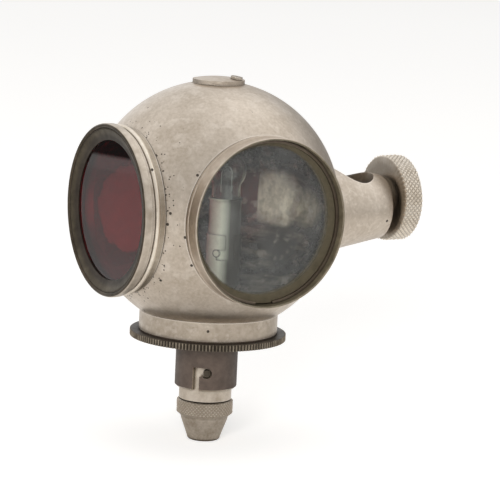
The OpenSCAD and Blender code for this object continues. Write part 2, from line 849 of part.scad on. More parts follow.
module socket_contacts() {
    top = [foot_bottom + foot_t / 2, holder_spring_z - 2 * face_gap];
    place = [-contact_reach, bulb_offset];
    color("#b08d4a") for (i = [0, 1])
        at_lamp() translate([0, place[i], 0]) union() {
            rod(contact_head_r, contact_face, contact_face + contact_head_t);
            rod(contact_r, contact_face, top[i]);
        }
}

// Plug

module plug_shell() {
    color("#c9c0b3") at_lamp() difference() {
        union() {
            rod(plug_r, plug_bottom, plug_top);
            rod(plug_spigot_r, plug_bottom - plug_spigot_h, plug_top);
        }
        rod(plug_bore_r, plug_insulator_bottom - face_gap, plug_top + over);
        rod(plug_spigot_r - plug_spigot_wall, plug_bottom - plug_spigot_h - over, plug_top);
        for (side = [0, 180])
            rotate([0, 0, plug_pin_turn + side]) translate([0, 0, plug_pin_z])
                rotate([0, 90, 0]) rod(plug_pin_r + drop_gap, 0, 2 * plug_r);
    }
}

module plug_pins() {
    color("#51473e") for (side = [0, 180])
        at_lamp() rotate([0, 0, plug_pin_turn + side]) translate([0, 0, plug_pin_z])
            rotate([0, 90, 0]) rod(plug_pin_r, plug_bore_r + drop_gap, tube_r - tube_chamfer / 2);
}

module plug_insulator() {
    color("#6b4a30") at_lamp() difference() {
        rod(plug_bore_r - drop_gap, plug_insulator_bottom, plug_top);
        for (side = [-1, 1])
            translate([0, side * contact_reach, 0]) {
                rod(plunger_r + drop_gap, plug_insulator_bottom + spring_floor, plug_top - plunger_lip);
                rod(plunger_tip_r + drop_gap, plug_top - 2 * plunger_lip, plug_top + over);
            }
    }
}

module plug_plungers() {
    color("#b08d4a") for (side = [-1, 1])
        at_lamp() translate([0, side * contact_reach, 0]) union() {
            rod(plunger_r, plunger_foot, plunger_stop);
            rod(plunger_tip_r, plunger_foot, contact_face - face_gap);
        }
}

module plug_springs() {
    color("#9a9a96") for (side = [-1, 1])
        at_lamp() translate([0, side * contact_reach, 0])
            coil(plug_helix, plug_spring_foot + spring_wire_r);
}

// Gland nut

module gland_ferrule() {
    color("#a8863f") at_lamp() difference() {
        cone(ferrule_r, ferrule_r + ferrule_spread, ferrule_bottom, ferrule_top);
        rod(cable_r, ferrule_bottom - over, ferrule_top + over);
        for (turn = [0, 90])
            rotate([0, 0, turn]) translate([-2 * ferrule_r, -ferrule_slit / 2, ferrule_bottom - over])
                cube([4 * ferrule_r, ferrule_slit, ferrule_slit_h + over]);
    }
}

module gland_nut() {
    hollow_r = gland_shoulder_h;
    seat_r = ferrule_r + drop_gap;
    outline = concat(
        [[0, gland_top], [gland_r - gland_edge, gland_top], [gland_r, gland_top - gland_edge]],
        [[gland_r, gland_band + gland_edge], [gland_r - gland_edge, gland_band]],
        arc(gland_shoulder_r + hollow_r, gland_shoulder, hollow_r, 130, 180, 8),
        arc(gland_foot_r - gland_round, gland_foot, gland_round, 0, -90, 8),
        [[0, gland_bottom]]
    );
    color("#b3aa9c") at_lamp() difference() {
        rotate_extrude() polygon(outline);
        rod(plug_spigot_r + thread_gap, ferrule_top, gland_top + over);
        cone(seat_r, seat_r + ferrule_spread, ferrule_bottom, ferrule_top);
        rod(seat_r, ferrule_bottom - face_gap, ferrule_top);
        rod(seat_r + ferrule_spread, ferrule_top - face_gap, gland_top);
        rod(cable_r, gland_bottom - over, gland_top);
    }
}

// Bulb holder

module at_foot_screws() {
    for (side = [-1, 1])
        on_bulb() translate([side * foot_screw_reach, 0, 0]) children();
}

module holder_stem() {
    foot_top = foot_bottom + foot_t;
    color("#b9ad98") difference() {
        on_bulb() union() {
            rod(foot_r, foot_bottom, foot_top);
            rod(stem_r, foot_bottom, shoulder_top);
            cone(stem_r, barrel_r, barrel_foot - stem_cone_h, barrel_foot - face_gap);
            rod(barrel_bore_r - drop_gap, barrel_foot - stem_cone_h / 4, shoulder_top);
        }
        on_bulb() rod(sleeve_r + drop_gap, foot_bottom - over, shoulder_top + over);
        at_lamp() translate([0, -contact_reach, 0])
            rod(contact_r + drop_gap, foot_bottom - over, foot_top + over);
        at_foot_screws() rod(foot_screw_r + drop_gap, foot_bottom - over, foot_top + over);
    }
}

module foot_screws() {
    head = foot_bottom + foot_t + face_gap;
    color("#a39a8c") at_foot_screws() union() {
        rod(foot_screw_r, flange_bottom, head + foot_screw_r);
        rod(2 * foot_screw_r, head, head + foot_screw_r);
    }
}

module holder_barrel() {
    color("#c8bfa9") on_bulb() difference() {
        tube(barrel_r, barrel_bore_r, barrel_foot, barrel_top);
        for (side = [0, 180])
            rotate([0, 0, bulb_pin_turn + side])
                bayonet_slot(cap_r, bulb_pin_z, bulb_slot_over, bulb_turn, bulb_slot_under,
                             bulb_slot_over, bulb_slot_w, barrel_top + over);
    }
}

module holder_insulator() {
    color("#6b4a30") on_bulb() difference() {
        union() {
            rod(sleeve_r, sleeve_bottom, sleeve_collar_top);
            rod(barrel_bore_r - drop_gap, shoulder_top + face_gap, sleeve_collar_top);
        }
        rod(sleeve_bore_r, flange_top + holder_spring_foot, sleeve_collar_top - plunger_lip);
        rod(plunger_tip_r + drop_gap, shoulder_top, sleeve_collar_top + over);
        rod(contact_r + drop_gap, sleeve_bottom - over, shoulder_top);
    }
}

module holder_plunger() {
    color("#b08d4a") on_bulb() union() {
        rod(plunger_r, holder_plunger_foot, holder_plunger_stop);
        rod(plunger_tip_r, holder_plunger_foot, bulb_contact_face - face_gap);
    }
}

module holder_spring() {
    color("#9a9a96") on_bulb() coil(holder_helix, holder_spring_z + spring_wire_r);
}

// Bulb

module bulb_cap() {
    color("#cfc7ae") on_bulb() difference() {
        union() {
            rod(cap_r, cap_foot, cap_rim);
            bead(cap_r, cap_wall, cap_rim - cap_wall);
        }
        rod(cap_r - cap_wall, cap_foot - over, cap_rim + over);
        at_bulb_pins() rod(bulb_pin_r + drop_gap, 0, 2 * cap_r);
    }
}

module at_bulb_pins() {
    for (side = [0, 180])
        rotate([0, 0, bulb_pin_turn + side]) translate([0, 0, bulb_pin_z]) rotate([0, 90, 0]) children();
}

module bulb_pins() {
    color("#b7ac94") on_bulb() at_bulb_pins() rod(bulb_pin_r, cap_r - 2 * cap_wall, barrel_r);
}

module bulb_contact() {
    color("#5a4630") on_bulb() union() {
        rod(cap_r - cap_wall - drop_gap, cap_foot, cap_foot + bulb_pin_h - 2 * bulb_pin_r);
        cone(plunger_tip_r, 2 * plunger_tip_r, bulb_contact_face, cap_foot);
    }
}

// Outline of the bulb glass at a wall's depth inside its surface
module globe(inset) {
    neck = asin(globe_neck_r / globe_r);
    rotate_extrude() polygon(concat(
        [[0, globe_foot + inset], [globe_neck_r - inset, globe_foot + inset]],
        [for (p = arc(0, globe_z, globe_r - inset, neck - 90, 90, 32)) [max(p[0], 0), p[1]]]
    ));
}

module bulb_glass() {
    color("#c7d2d2", 0.4) on_bulb() difference() {
        globe(0);
        globe(globe_wall);
    }
}

module bulb_stem() {
    top = globe_z - globe_r / 2;
    color("#b9c4c4", 0.6) on_bulb() union() {
        rod(glass_stem_r, globe_foot + globe_wall + face_gap, cap_rim);
        cone(glass_stem_r, glass_stem_r / 2, cap_rim, top);
    }
}

// One wire: up from the stem, over half an ellipse and down again
module bulb_filament() {
    steps = 24;
    reach = filament_span / 2;
    foot = globe_z - filament_rise / 2;
    lead_foot = cap_rim + glass_stem_r;
    arch = [for (i = [0:steps])
        let (a = 180 * i / steps, run = [reach * sin(a), filament_rise * cos(a)], along = run / norm(run))
        [[0, -reach * cos(a), foot + filament_rise * sin(a)], [1, 0, 0], [0, along[1], -along[0]]]];
    path = concat(
        [[[0, -reach, lead_foot], arch[0][1], arch[0][2]]],
        arch,
        [[[0, reach, lead_foot], arch[steps][1], arch[steps][2]]]
    );
    rings = len(path);
    color("#8a8378") on_bulb() polyhedron(
        points = tube_points(path, filament_r, wire_sides),
        faces = concat(skin_sides(rings, wire_sides), skin_caps(rings, wire_sides))
    );
}

body_shell();
top_plate();
plate_screw();
lens_collar();
lens_gasket();
red_lens();
lens_retaining_ring();
lens_bezel();
window_rim();
window_gasket();
window_glass();
window_spring_ring();
bracket_boss();
clamp_washer();
clamp_screw();
thumb_nut();
neck_ring();
base_packing();
base_flange();
connector_socket();
socket_insulator();
socket_contacts();
plug_shell();
plug_pins();
plug_insulator();
plug_plungers();
plug_springs();
gland_ferrule();
gland_nut();
holder_stem();
foot_screws();
holder_barrel();
holder_insulator();
holder_plunger();
holder_spring();
bulb_cap();
bulb_pins();
bulb_contact();
bulb_glass();
bulb_stem();
bulb_filament();
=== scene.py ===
"""Dresses a nickel-plated car stop lamp: finishes, knurls, pits, studio light and camera."""

import logging
import math
from abc import ABC, abstractmethod
from dataclasses import dataclass, field
from enum import Enum
from typing import Any, ClassVar, Mapping, NamedTuple, Optional, Sequence

import bpy
import numpy as np
from bpy.types import Material, NodeSocket, NodeTree, Object, Scene
from mathutils import Matrix, Vector


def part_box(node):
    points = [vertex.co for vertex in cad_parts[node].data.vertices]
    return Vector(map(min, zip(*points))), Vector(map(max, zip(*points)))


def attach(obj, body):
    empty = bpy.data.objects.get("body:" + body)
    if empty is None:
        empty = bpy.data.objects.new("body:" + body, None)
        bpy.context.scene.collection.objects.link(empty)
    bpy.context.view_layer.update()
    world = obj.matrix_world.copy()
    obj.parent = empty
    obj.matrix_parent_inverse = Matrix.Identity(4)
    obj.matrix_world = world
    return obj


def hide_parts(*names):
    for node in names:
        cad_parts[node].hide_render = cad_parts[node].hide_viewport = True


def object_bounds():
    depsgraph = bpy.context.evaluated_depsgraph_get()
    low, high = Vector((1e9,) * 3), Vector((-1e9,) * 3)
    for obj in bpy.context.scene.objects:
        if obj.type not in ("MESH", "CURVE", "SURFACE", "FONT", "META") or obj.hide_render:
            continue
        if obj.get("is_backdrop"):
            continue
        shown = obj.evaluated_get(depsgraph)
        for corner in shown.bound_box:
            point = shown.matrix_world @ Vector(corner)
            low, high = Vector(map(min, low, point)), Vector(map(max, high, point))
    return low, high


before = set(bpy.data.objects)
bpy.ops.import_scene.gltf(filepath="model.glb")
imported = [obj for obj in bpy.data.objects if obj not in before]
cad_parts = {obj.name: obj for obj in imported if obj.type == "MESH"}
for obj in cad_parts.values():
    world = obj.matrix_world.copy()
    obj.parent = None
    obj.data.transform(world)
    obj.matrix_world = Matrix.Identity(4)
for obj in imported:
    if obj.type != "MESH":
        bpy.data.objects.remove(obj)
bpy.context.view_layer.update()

MM = 0.001
# Sockets of the Mix node, which repeats its socket names in its forms for numbers and colours.
MIX_SHARE, NUMBER_FROM, NUMBER_TO = 0, 2, 3
COLOUR_FROM, COLOUR_TO, COLOUR_RESULT = 6, 7, 2
# Edges that turn more than this stay sharp.
SHARP_DEG = 40.0
# Unit normals that rise more than this count as upright.
UPRIGHT_FROM = 0.9
# Rays that look for corners and arrises round a point.
CORNER_RAYS = 6
# Middle of the ball.
LAMP_MM = (0.0, -44.5, 1.6)
WHITE, BLACK = "#ffffff", "#000000"
# Two numbers such as limits, three such as a place or a way, and a light and a dark tone.
Pair = tuple[float, float]
Triple = tuple[float, float, float]
Tones = tuple[str, str]
log = logging.getLogger("stop_lamp")


class Body(str, Enum):
    """Bodies of the frame that new pieces ride on."""

    LAMP = "lamp"
    THUMB_SCREW = "thumb_screw"
    GLAND = "gland_nut"


class Slot(str, Enum):
    """Material slots of the record, which new pieces are placed with."""

    NICKEL = "nickel"
    TURNED = "nickel_turned"


class Facing(Enum):
    """Ways that a round feature of the lamp faces, each with two unit vectors across it."""

    FRONT = ((0, -1, 0), (1, 0, 0), (0, 0, 1))
    SIDE = ((1, 0, 0), (0, 1, 0), (0, 0, 1))
    BACK = ((0, 1, 0), (1, 0, 0), (0, 0, 1))
    UP = ((0, 0, 1), (1, 0, 0), (0, 1, 0))

    @property
    def axes(self) -> np.ndarray:
        """The direction and the two vectors across it, as rows."""
        return np.array(self.value, float)


class Across(Enum):
    """What a distance is measured from: a point, or a line along one axis."""

    POINT = (1.0, 1.0, 1.0)
    UPRIGHT = (1.0, 1.0, 0.0)
    SIDEWAYS = (0.0, 1.0, 1.0)
    LENGTHWAYS = (1.0, 0.0, 1.0)


def linear(hex_colour: str) -> tuple[float, float, float, float]:
    """Turns an sRGB hex value into a linear colour.

    Args:
        hex_colour: A hash sign and six hex digits.

    Returns:
        Linear red, green and blue, and an alpha of 1.
    """
    steps = np.array([int(hex_colour[i:i + 2], 16) for i in (1, 3, 5)]) / 255
    curve = np.where(steps <= 0.04045, steps / 12.92, ((steps + 0.055) / 1.055) ** 2.4)
    return (*curve.tolist(), 1.0)


def per_mm(size_mm: float) -> float:
    """Texture scale at which one cell of a pattern has this size in millimetres."""
    return 1 / (size_mm * MM)


def add(tree: NodeTree, kind: str, inputs: Optional[Mapping[Any, Any]] = None, out: int | str = 0,
        **settings: Any) -> Optional[NodeSocket]:
    """Adds a shader node, with its settings and links.

    Args:
        tree: The node tree that gets the node.
        kind: The node's type, without its leading ShaderNode.
        inputs: What each input gets: a socket, which is linked, or a plain value.
        out: Name or number of the output that is wanted.
        settings: Properties of the node.

    Returns:
        The node's output, or nothing if it has none.
    """
    node = tree.nodes.new("ShaderNode" + kind)
    for name, value in settings.items():
        setattr(node, name, value)
    for key, value in (inputs or {}).items():
        if isinstance(value, NodeSocket):
            tree.links.new(value, node.inputs[key])
        else:
            node.inputs[key].default_value = value
    return node.outputs[out] if node.outputs else None


def cloud(tree: NodeTree, coords: NodeSocket, size_mm: float, limits: Pair = (0.0, 1.0),
          most: float = 1.0, detail: float = 4.0, broken: float = 0.62) -> NodeSocket:
    """A cloudy pattern, which shows where its noise lies above a limit.

    Args:
        tree: The material's node tree.
        coords: Where the pattern is read.
        size_mm: Size of one cloud.
        limits: Levels of the noise where the pattern starts and where it is full.
        most: The pattern's value where it is full.
        detail: How many times finer clouds are laid over it.
        broken: How strong the finer clouds are.

    Returns:
        A value from 0 to the most.
    """
    noise = add(tree, "TexNoise", {
        "Vector": coords, "Scale": per_mm(size_mm), "Detail": detail, "Roughness": broken})
    return add(tree, "MapRange", {
        "Value": noise, "From Min": limits[0], "From Max": limits[1], "To Max": most})


def fade(tree: NodeTree, coords: NodeSocket, middle_mm: Sequence[float], limits_mm: Pair,
         across: Across = Across.POINT, most: float = 1.0,
         wander: Optional[NodeSocket] = None) -> NodeSocket:
    """A share that changes with the distance from a point or a line.

    Args:
        tree: The material's node tree.
        coords: Where the share is read.
        middle_mm: The point, or a point of the line.
        limits_mm: Distances where the share is nothing and where it is full.
        across: What the distance is measured from.
        most: The share where it is full.
        wander: What is added to the distance, in metres, if the edge is ragged.

    Returns:
        A value from 0 to the most.
    """
    offset = add(tree, "VectorMath", {0: coords, 1: [x * MM for x in middle_mm]}, operation="SUBTRACT")
    spread = add(tree, "VectorMath", {0: offset, 1: across.value}, operation="MULTIPLY")
    reach = add(tree, "VectorMath", {0: spread}, "Value", operation="LENGTH")
    if wander is not None:
        reach = add(tree, "Math", {0: reach, 1: wander})
    start, full = (limit * MM for limit in limits_mm)
    return add(tree, "MapRange", {"Value": reach, "From Min": start, "From Max": full, "To Max": most})


def layered(tree: NodeTree, ground: Any, *layers: tuple[NodeSocket, Any]) -> NodeSocket:
    """Lays colours over a ground, one after the other; each is a hex value or a socket.

    Args:
        tree: The material's node tree.
        ground: The lowest colour.
        layers: How much of each further colour shows, and the colour.

    Returns:
        The colour that they give together.
    """
    for share, colour in layers:
        under, over = (linear(c) if isinstance(c, str) else c for c in (ground, colour))
        mixed = {MIX_SHARE: share, COLOUR_FROM: under, COLOUR_TO: over}
        ground = add(tree, "Mix", mixed, COLOUR_RESULT, data_type="RGBA")
    return ground


def seen_share(tree: NodeTree) -> NodeSocket:
    """Tells rays that the eye, metal and glass see by from rays that only carry light.

    Args:
        tree: The node tree of a material or of the world.

    Returns:
        1 for rays that are seen, and 0 for others.
    """
    seen = add(tree, "LightPath", out="Is Camera Ray")
    for ray in ("Is Glossy Ray", "Is Transmission Ray"):
        seen = add(tree, "Math", {0: seen, 1: add(tree, "LightPath", out=ray)}, operation="MAXIMUM")
    return seen


class Surface(NamedTuple):
    """Sockets or values that describe a surface before dirt and wear are laid over it."""

    colour: NodeSocket
    rough: NodeSocket
    relief: Any
    metallic: Any


class Finish(ABC):
    """A real material and how its surface was made."""

    name: str

    @abstractmethod
    def shade(self, tree: NodeTree) -> NodeSocket:
        """Builds the nodes.

        Args:
            tree: The material's empty node tree.

        Returns:
            The socket that goes to the material's surface.
        """

    def material(self) -> Material:
        """Gives the finish as a material, made on first use.

        Returns:
            The material of this finish's name.
        """
        made = bpy.data.materials.get(self.name)
        if made is None:
            made = bpy.data.materials.new(self.name)
            made.use_nodes = True
            made.node_tree.nodes.clear()
            surface = self.shade(made.node_tree)
            add(made.node_tree, "OutputMaterial", {"Surface": surface})
        return made


@dataclass(frozen=True)
class AgedMetal(Finish):
    """Old metal: blotches, a fine mottle, painted shade and grime in corners, bare worn edges and pin-prick
    pits.

    The eye gets a satin sheen that is uneven at the width of a finger, with seams darkened by painted shade
    and lighter arrises.
    """

    name: str
    clean: str
    dull: str
    # Colour of the painted shade in corners and seams, and of the specks.
    shade_and_grime: str = "#3d342b"
    worn: str = "#e2d8ca"
    roughness: Pair = (0.3, 0.44)
    metallic: float = 1.0
    relief: float = 0.5
    relief_mm: float = 0.02
    blotch_mm: float = 12.0
    mottle_mm: float = 1.7
    mottle_share: float = 0.4
    drift_limits: Pair = (0.36, 0.64)
    scratch_mm: float = 0.9
    scratch_way: Triple = (1.0, 0.12, 0.5)
    scratch_turn: Triple = (0.0, 0.0, 0.3)
    speck_mm: float = 0.8
    speck_limits: Pair = (0.7, 0.76)
    speck_share: float = 0.3
    speck_depth: float = 1.5
    scuff_mm: float = 3.0
    scuff_limits: Pair = (0.53, 0.62)
    scuff_share: float = 0.0
    corner_shade_reach_mm: float = 1.6
    corner_shade_from: float = 0.75
    corner_shade_full: float = 0.3
    corner_shade_share: float = 0.9
    corner_shade_roughness: float = 0.25
    edge_mm: float = 0.35
    edge_limits: Pair = (0.8, 0.45)
    edge_wear: float = 0.6

    def drift(self, tree: NodeTree, coords: NodeSocket) -> NodeSocket:
        """Works out how dull each point is, by blotches and mottle.

        Args:
            tree: The material's node tree.
            coords: Where the pattern is read.

        Returns:
            A dullness from 0 to 1.
        """
        blotch = cloud(tree, coords, self.blotch_mm, detail=5.0)
        mottle = cloud(tree, coords, self.mottle_mm, detail=3.0)
        both = add(tree, "Mix", {
            MIX_SHARE: self.mottle_share, NUMBER_FROM: blotch, NUMBER_TO: mottle}, data_type="FLOAT")
        start, full = self.drift_limits
        return add(tree, "MapRange", {"Value": both, "From Min": start, "From Max": full})

    def plate(self, tree: NodeTree, dull: NodeSocket, tones: Tones, roughness: Pair) -> list[NodeSocket]:
        """Colour and roughness of plate whose tone and sheen follow its dullness."""
        sheen = {"Value": dull, "To Min": roughness[0], "To Max": roughness[1]}
        return [layered(tree, tones[0], (dull, tones[1])), add(tree, "MapRange", sheen)]

    def tone(self, tree: NodeTree, coords: NodeSocket) -> Surface:
        """Mixes the clean and the dull tone.

        Args:
            tree: The material's node tree.
            coords: Where the pattern is read.

        Returns:
            The bare surface.
        """
        plate = self.plate(tree, self.drift(tree, coords), (self.clean, self.dull), self.roughness)
        return Surface(*plate, self.relief, self.metallic)

    def shade(self, tree: NodeTree) -> NodeSocket:
        """Lays scuffs, edge wear, painted corner shade and specks over the tone; roughness and relief follow
        them.

        Args:
            tree: The material's empty node tree.

        Returns:
            The metal's surface.
        """
        coords = add(tree, "TexCoord", out="Object")
        colour, rough, strength, metallic = self.tone(tree, coords)
        # Corners and seams darken by how much is near them: painted shade, laid in the grime colour.
        corner = add(tree, "AmbientOcclusion", {
            "Distance": self.corner_shade_reach_mm * MM}, "AO", samples=CORNER_RAYS)
        shade_and_grime = add(tree, "MapRange", {
            "Value": corner, "From Min": self.corner_shade_from, "From Max": self.corner_shade_full,
            "To Max": self.corner_shade_share})
        arris = add(tree, "AmbientOcclusion", {
            "Distance": self.edge_mm * MM}, "AO", samples=CORNER_RAYS, inside=True, only_local=True)
        wear = add(tree, "MapRange", {
            "Value": arris, "From Min": self.edge_limits[0], "From Max": self.edge_limits[1],
            "To Max": self.edge_wear})
        specks = cloud(tree, coords, self.speck_mm, self.speck_limits, self.speck_share, detail=2.0)
        scuffs = cloud(tree, coords, self.scuff_mm, self.scuff_limits, self.scuff_share, detail=6.0)
        colour = layered(
            tree, colour, (scuffs, self.worn), (wear, self.worn), (shade_and_grime, self.shade_and_grime), (specks, self.shade_and_grime))
        rough = add(tree, "Math", {0: shade_and_grime, 1: self.corner_shade_roughness, 2: rough}, operation="MULTIPLY_ADD")
        stretch = add(tree, "Mapping", {
            "Vector": coords, "Scale": self.scratch_way, "Rotation": self.scratch_turn})
        scratch = cloud(tree, stretch, self.scratch_mm)
        height = add(tree, "Math", {0: specks, 1: -self.speck_depth, 2: scratch}, operation="MULTIPLY_ADD")
        bump = add(tree, "Bump", {"Strength": strength, "Distance": self.relief_mm * MM, "Height": height})
        return add(tree, "BsdfPrincipled", {
            "Base Color": colour, "Metallic": metallic, "Roughness": rough, "Normal": bump})


@dataclass(frozen=True)
class TwoToneMetal(AgedMetal):
    """Metal with another tone and sheen on one side of a round limit, such as a bore or a rim."""

    across: Across = Across.POINT
    middle_mm: Triple = LAMP_MM
    other_mm: Pair = (0.0, 0.0)
    other: Tones = ("#8d867b", "#57534d")
    other_roughness: Pair = (0.3, 0.44)
    other_relief: float = 0.5
    other_metallic: float = 1.0

    def other_share(self, tree: NodeTree, coords: NodeSocket) -> NodeSocket:
        """How much of the other tone shows, by the distance from the middle or from an axis through it."""
        return fade(tree, coords, self.middle_mm, self.other_mm, self.across)

    def tone(self, tree: NodeTree, coords: NodeSocket) -> Surface:
        """Fades from the first tone to the other.

        Args:
            tree: The material's node tree.
            coords: Where the pattern is read.

        Returns:
            The bare surface of both tones.
        """
        dull = self.drift(tree, coords)
        share = self.other_share(tree, coords)
        first, first_rough = self.plate(tree, dull, (self.clean, self.dull), self.roughness)
        second, second_rough = self.plate(tree, dull, self.other, self.other_roughness)
        rough = add(tree, "Mix", {
            MIX_SHARE: share, NUMBER_FROM: first_rough, NUMBER_TO: second_rough}, data_type="FLOAT")
        relief, metallic = (
            add(tree, "MapRange", {"Value": share, "To Min": start, "To Max": end})
            for start, end in ((self.relief, self.other_relief), (self.metallic, self.other_metallic)))
        return Surface(layered(tree, first, (share, second)), rough, relief, metallic)


class Circle(NamedTuple):
    """The points near a place, in millimetres from the lamp's middle, with an edge that fades inwards."""

    place: Triple
    radius: float
    soft: float


class Patch(NamedTuple):
    """A matt patch of painted light, or of painted shade where its colours are dark, with a ragged edge,
    which larger circles may cut off along clean lines.
    """

    spread: Circle
    most: float = 1.0
    cuts: Sequence[Circle] = ()
    colours: Tones = ("#efe4d1", "#a69b8a")


@dataclass(frozen=True)
class PaintedLightMetal(TwoToneMetal):
    """Two-tone metal whose other side carries painted streaks of reflection and painted patches of light and
    shade, which are matt.
    """

    # Colours of the painted streaks of reflection.
    pale: Tones = ("#fbf1df", "#b0a595")
    matt: float = 0.7
    ragged_mm: float = 4.0
    mould_mm: float = 2.2
    mould_way: Triple = (1.0, 1.0, 0.75)
    mould_limits: Pair = (0.34, 0.66)
    streak_mm: float = 3.0
    streak_way: Triple = (0.16, 0.16, 1.0)
    streak_turn: Triple = (0.08, 0.0, 0.0)
    streak_limits: Pair = (0.5, 0.68)
    streak_share: float = 0.26
    patches: Sequence[Patch] = ()

    def within(self, tree: NodeTree, coords: NodeSocket, circle: Circle, **edge: Any) -> NodeSocket:
        """A share that grows inwards from a circle's edge."""
        middle = [a + b for a, b in zip(LAMP_MM, circle.place)]
        return fade(tree, coords, middle, (circle.radius, circle.radius - circle.soft), **edge)

    def tone(self, tree: NodeTree, coords: NodeSocket) -> Surface:
        """Lays the painted streaks of reflection and then each painted patch over the tone, with edges that
        a noise makes ragged.

        Args:
            tree: The material's node tree.
            coords: Where the pattern is read.

        Returns:
            The bare surface with its painted patches.
        """
        colour, rough, relief, metallic = super().tone(tree, coords)
        inside = self.other_share(tree, coords)
        stretch = add(tree, "Mapping", {
            "Vector": coords, "Scale": self.streak_way, "Rotation": self.streak_turn})
        streaks = cloud(tree, stretch, self.streak_mm, self.streak_limits, self.streak_share, detail=2.0)
        upright = add(tree, "Mapping", {"Vector": coords, "Scale": self.mould_way})
        mould = cloud(tree, upright, self.mould_mm, self.mould_limits, detail=6.0)
        ragged = self.ragged_mm * MM
        wander = add(tree, "MapRange", {
            "Value": cloud(tree, coords, self.ragged_mm), "To Min": -ragged, "To Max": ragged})
        # The streaks are painted reflections, in the pale colours.
        layers = [(streaks, (), self.pale)]
        for patch in self.patches:
            spread = self.within(tree, coords, patch.spread, most=patch.most, wander=wander)
            layers.append((spread, patch.cuts, patch.colours))
        for share, cuts, (light, dark) in layers:
            for limit in (*(self.within(tree, coords, cut) for cut in cuts), inside):
                share = add(tree, "Math", {0: share, 1: limit}, operation="MULTIPLY")
            colour = layered(tree, colour, (share, layered(tree, light, (mould, dark))))
            rough, metallic = (
                add(tree, "Mix", {MIX_SHARE: share, NUMBER_FROM: bare, NUMBER_TO: over}, data_type="FLOAT")
                for bare, over in ((rough, self.matt), (metallic, 0.0)))
        return Surface(colour, rough, relief, metallic)


@dataclass(frozen=True)
class KnurledNickel(AgedMetal):
    """Knurled plate: the crests are rubbed bright and the grooves are darkened, as painted shade and old
    dirt.
    """

    groove: str = "#6f6456"
    clean_from: float = 0.75

    def tone(self, tree: NodeTree, coords: NodeSocket) -> Surface:
        """Darkens the tone towards the grooves, as the piece's crest attribute says: painted shade and dirt.

        Args:
            tree: The material's node tree.
            coords: Where the pattern is read.

        Returns:
            The bare surface with its grooves.
        """
        surface = super().tone(tree, coords)
        crest = add(tree, "Attribute", out="Fac", attribute_name="crest")
        depth = add(tree, "MapRange", {"Value": crest, "From Min": self.clean_from, "From Max": 0.0})
        return surface._replace(colour=layered(tree, surface.colour, (depth, self.groove)))


@dataclass(frozen=True)
class OldGlass(Finish):
    """Pressed or blown glass with a film of dust, which lies in patches and greys what is behind it."""

    name: str
    tint: str
    dust: str = "#9fa29a"
    dust_most: float = 0.0
    dust_mm: float = 9.0
    dust_limits: Pair = (0.35, 0.7)
    refraction: float = 1.5

    def shade(self, tree: NodeTree) -> NodeSocket:
        """Glass that lets the lamps through to what it covers, with dust as a share that doesn't transmit.

        Args:
            tree: The material's empty node tree.

        Returns:
            The glass's surface.
        """
        coords = add(tree, "TexCoord", out="Object")
        film = cloud(tree, coords, self.dust_mm, self.dust_limits, self.dust_most, detail=6.0, broken=0.7)
        clear = add(tree, "Math", {0: 1.0, 1: film}, operation="SUBTRACT")
        glass = add(tree, "BsdfPrincipled", {
            "Base Color": layered(tree, self.tint, (film, self.dust)), "Roughness": 0.0,
            "IOR": self.refraction, "Transmission Weight": clear})
        straight = add(tree, "BsdfTransparent", {"Color": [math.sqrt(c) for c in linear(self.tint)]})
        lamp_ray = add(tree, "LightPath", out="Is Shadow Ray")
        return add(tree, "MixShader", {0: lamp_ray, 1: glass, 2: straight})


@dataclass(frozen=True)
class BeddedGlass(OldGlass):
    """A pane whose edge is hidden under old bedding putty and dirt, which lies thicker on one side."""

    putty: Tones = ("#5c5442", "#282318")
    putty_roughness: float = 0.8
    clear_middle_mm: Triple = LAMP_MM
    clear_mm: Pair = (20.7, 21.3)
    lump_mm: float = 1.6

    def shade(self, tree: NodeTree) -> NodeSocket:
        """Lays the putty over the glass outside a round limit, with an edge that a noise makes ragged.

        Args:
            tree: The material's empty node tree.

        Returns:
            The surface of the pane and its putty.
        """
        glass = super().shade(tree)
        coords = add(tree, "TexCoord", out="Object")
        lumps = cloud(tree, coords, self.lump_mm, detail=5.0, broken=0.7)
        wander = add(tree, "Math", {0: lumps, 1: self.lump_mm * MM / 2}, operation="MULTIPLY")
        share = fade(tree, coords, self.clear_middle_mm, self.clear_mm, Across.SIDEWAYS, wander=wander)
        putty = add(tree, "BsdfPrincipled", {
            "Base Color": layered(tree, self.putty[0], (lumps, self.putty[1])),
            "Roughness": self.putty_roughness})
        return add(tree, "MixShader", {0: share, 1: glass, 2: putty})


@dataclass(frozen=True)
class Fibre(Finish):
    """Vulcanised fibre, cork, old rubber or soot: matt, with a short grain."""

    name: str
    light: str
    dark: str
    grain_mm: float = 0.6
    grain_depth_mm: float = 0.03
    relief: float = 0.4
    roughness: float = 0.75

    def shade(self, tree: NodeTree) -> NodeSocket:
        """Two tones in a short grain, with the grain as relief.

        Args:
            tree: The material's empty node tree.

        Returns:
            The fibre's surface.
        """
        coords = add(tree, "TexCoord", out="Object")
        grain = cloud(tree, coords, self.grain_mm, broken=0.65)
        bump = add(tree, "Bump", {
            "Strength": self.relief, "Distance": self.grain_depth_mm * MM, "Height": grain})
        return add(tree, "BsdfPrincipled", {
            "Base Color": layered(tree, self.light, (grain, self.dark)), "Roughness": self.roughness,
            "Normal": bump})


def quads(rows: int, columns: int, close_rows: bool, close_columns: bool) -> np.ndarray:
    """Faces between neighbours of a grid of points, each with the points (i, j) to (i + 1, j + 1).

    Args:
        rows: Points along the first parameter.
        columns: Points along the second parameter.
        close_rows: Whether the last row joins the first.
        close_columns: Whether the last column joins the first.

    Returns:
        Point numbers, four to a face.
    """
    rows_used, columns_used = rows - (not close_rows), columns - (not close_columns)
    i, j = np.meshgrid(np.arange(rows_used), np.arange(columns_used), indexing="ij")
    below, beside = (i + 1) % rows, (j + 1) % columns
    corners = (i * columns + j, i * columns + beside, below * columns + beside, below * columns + j)
    return np.stack(corners, -1).reshape(-1, 4)


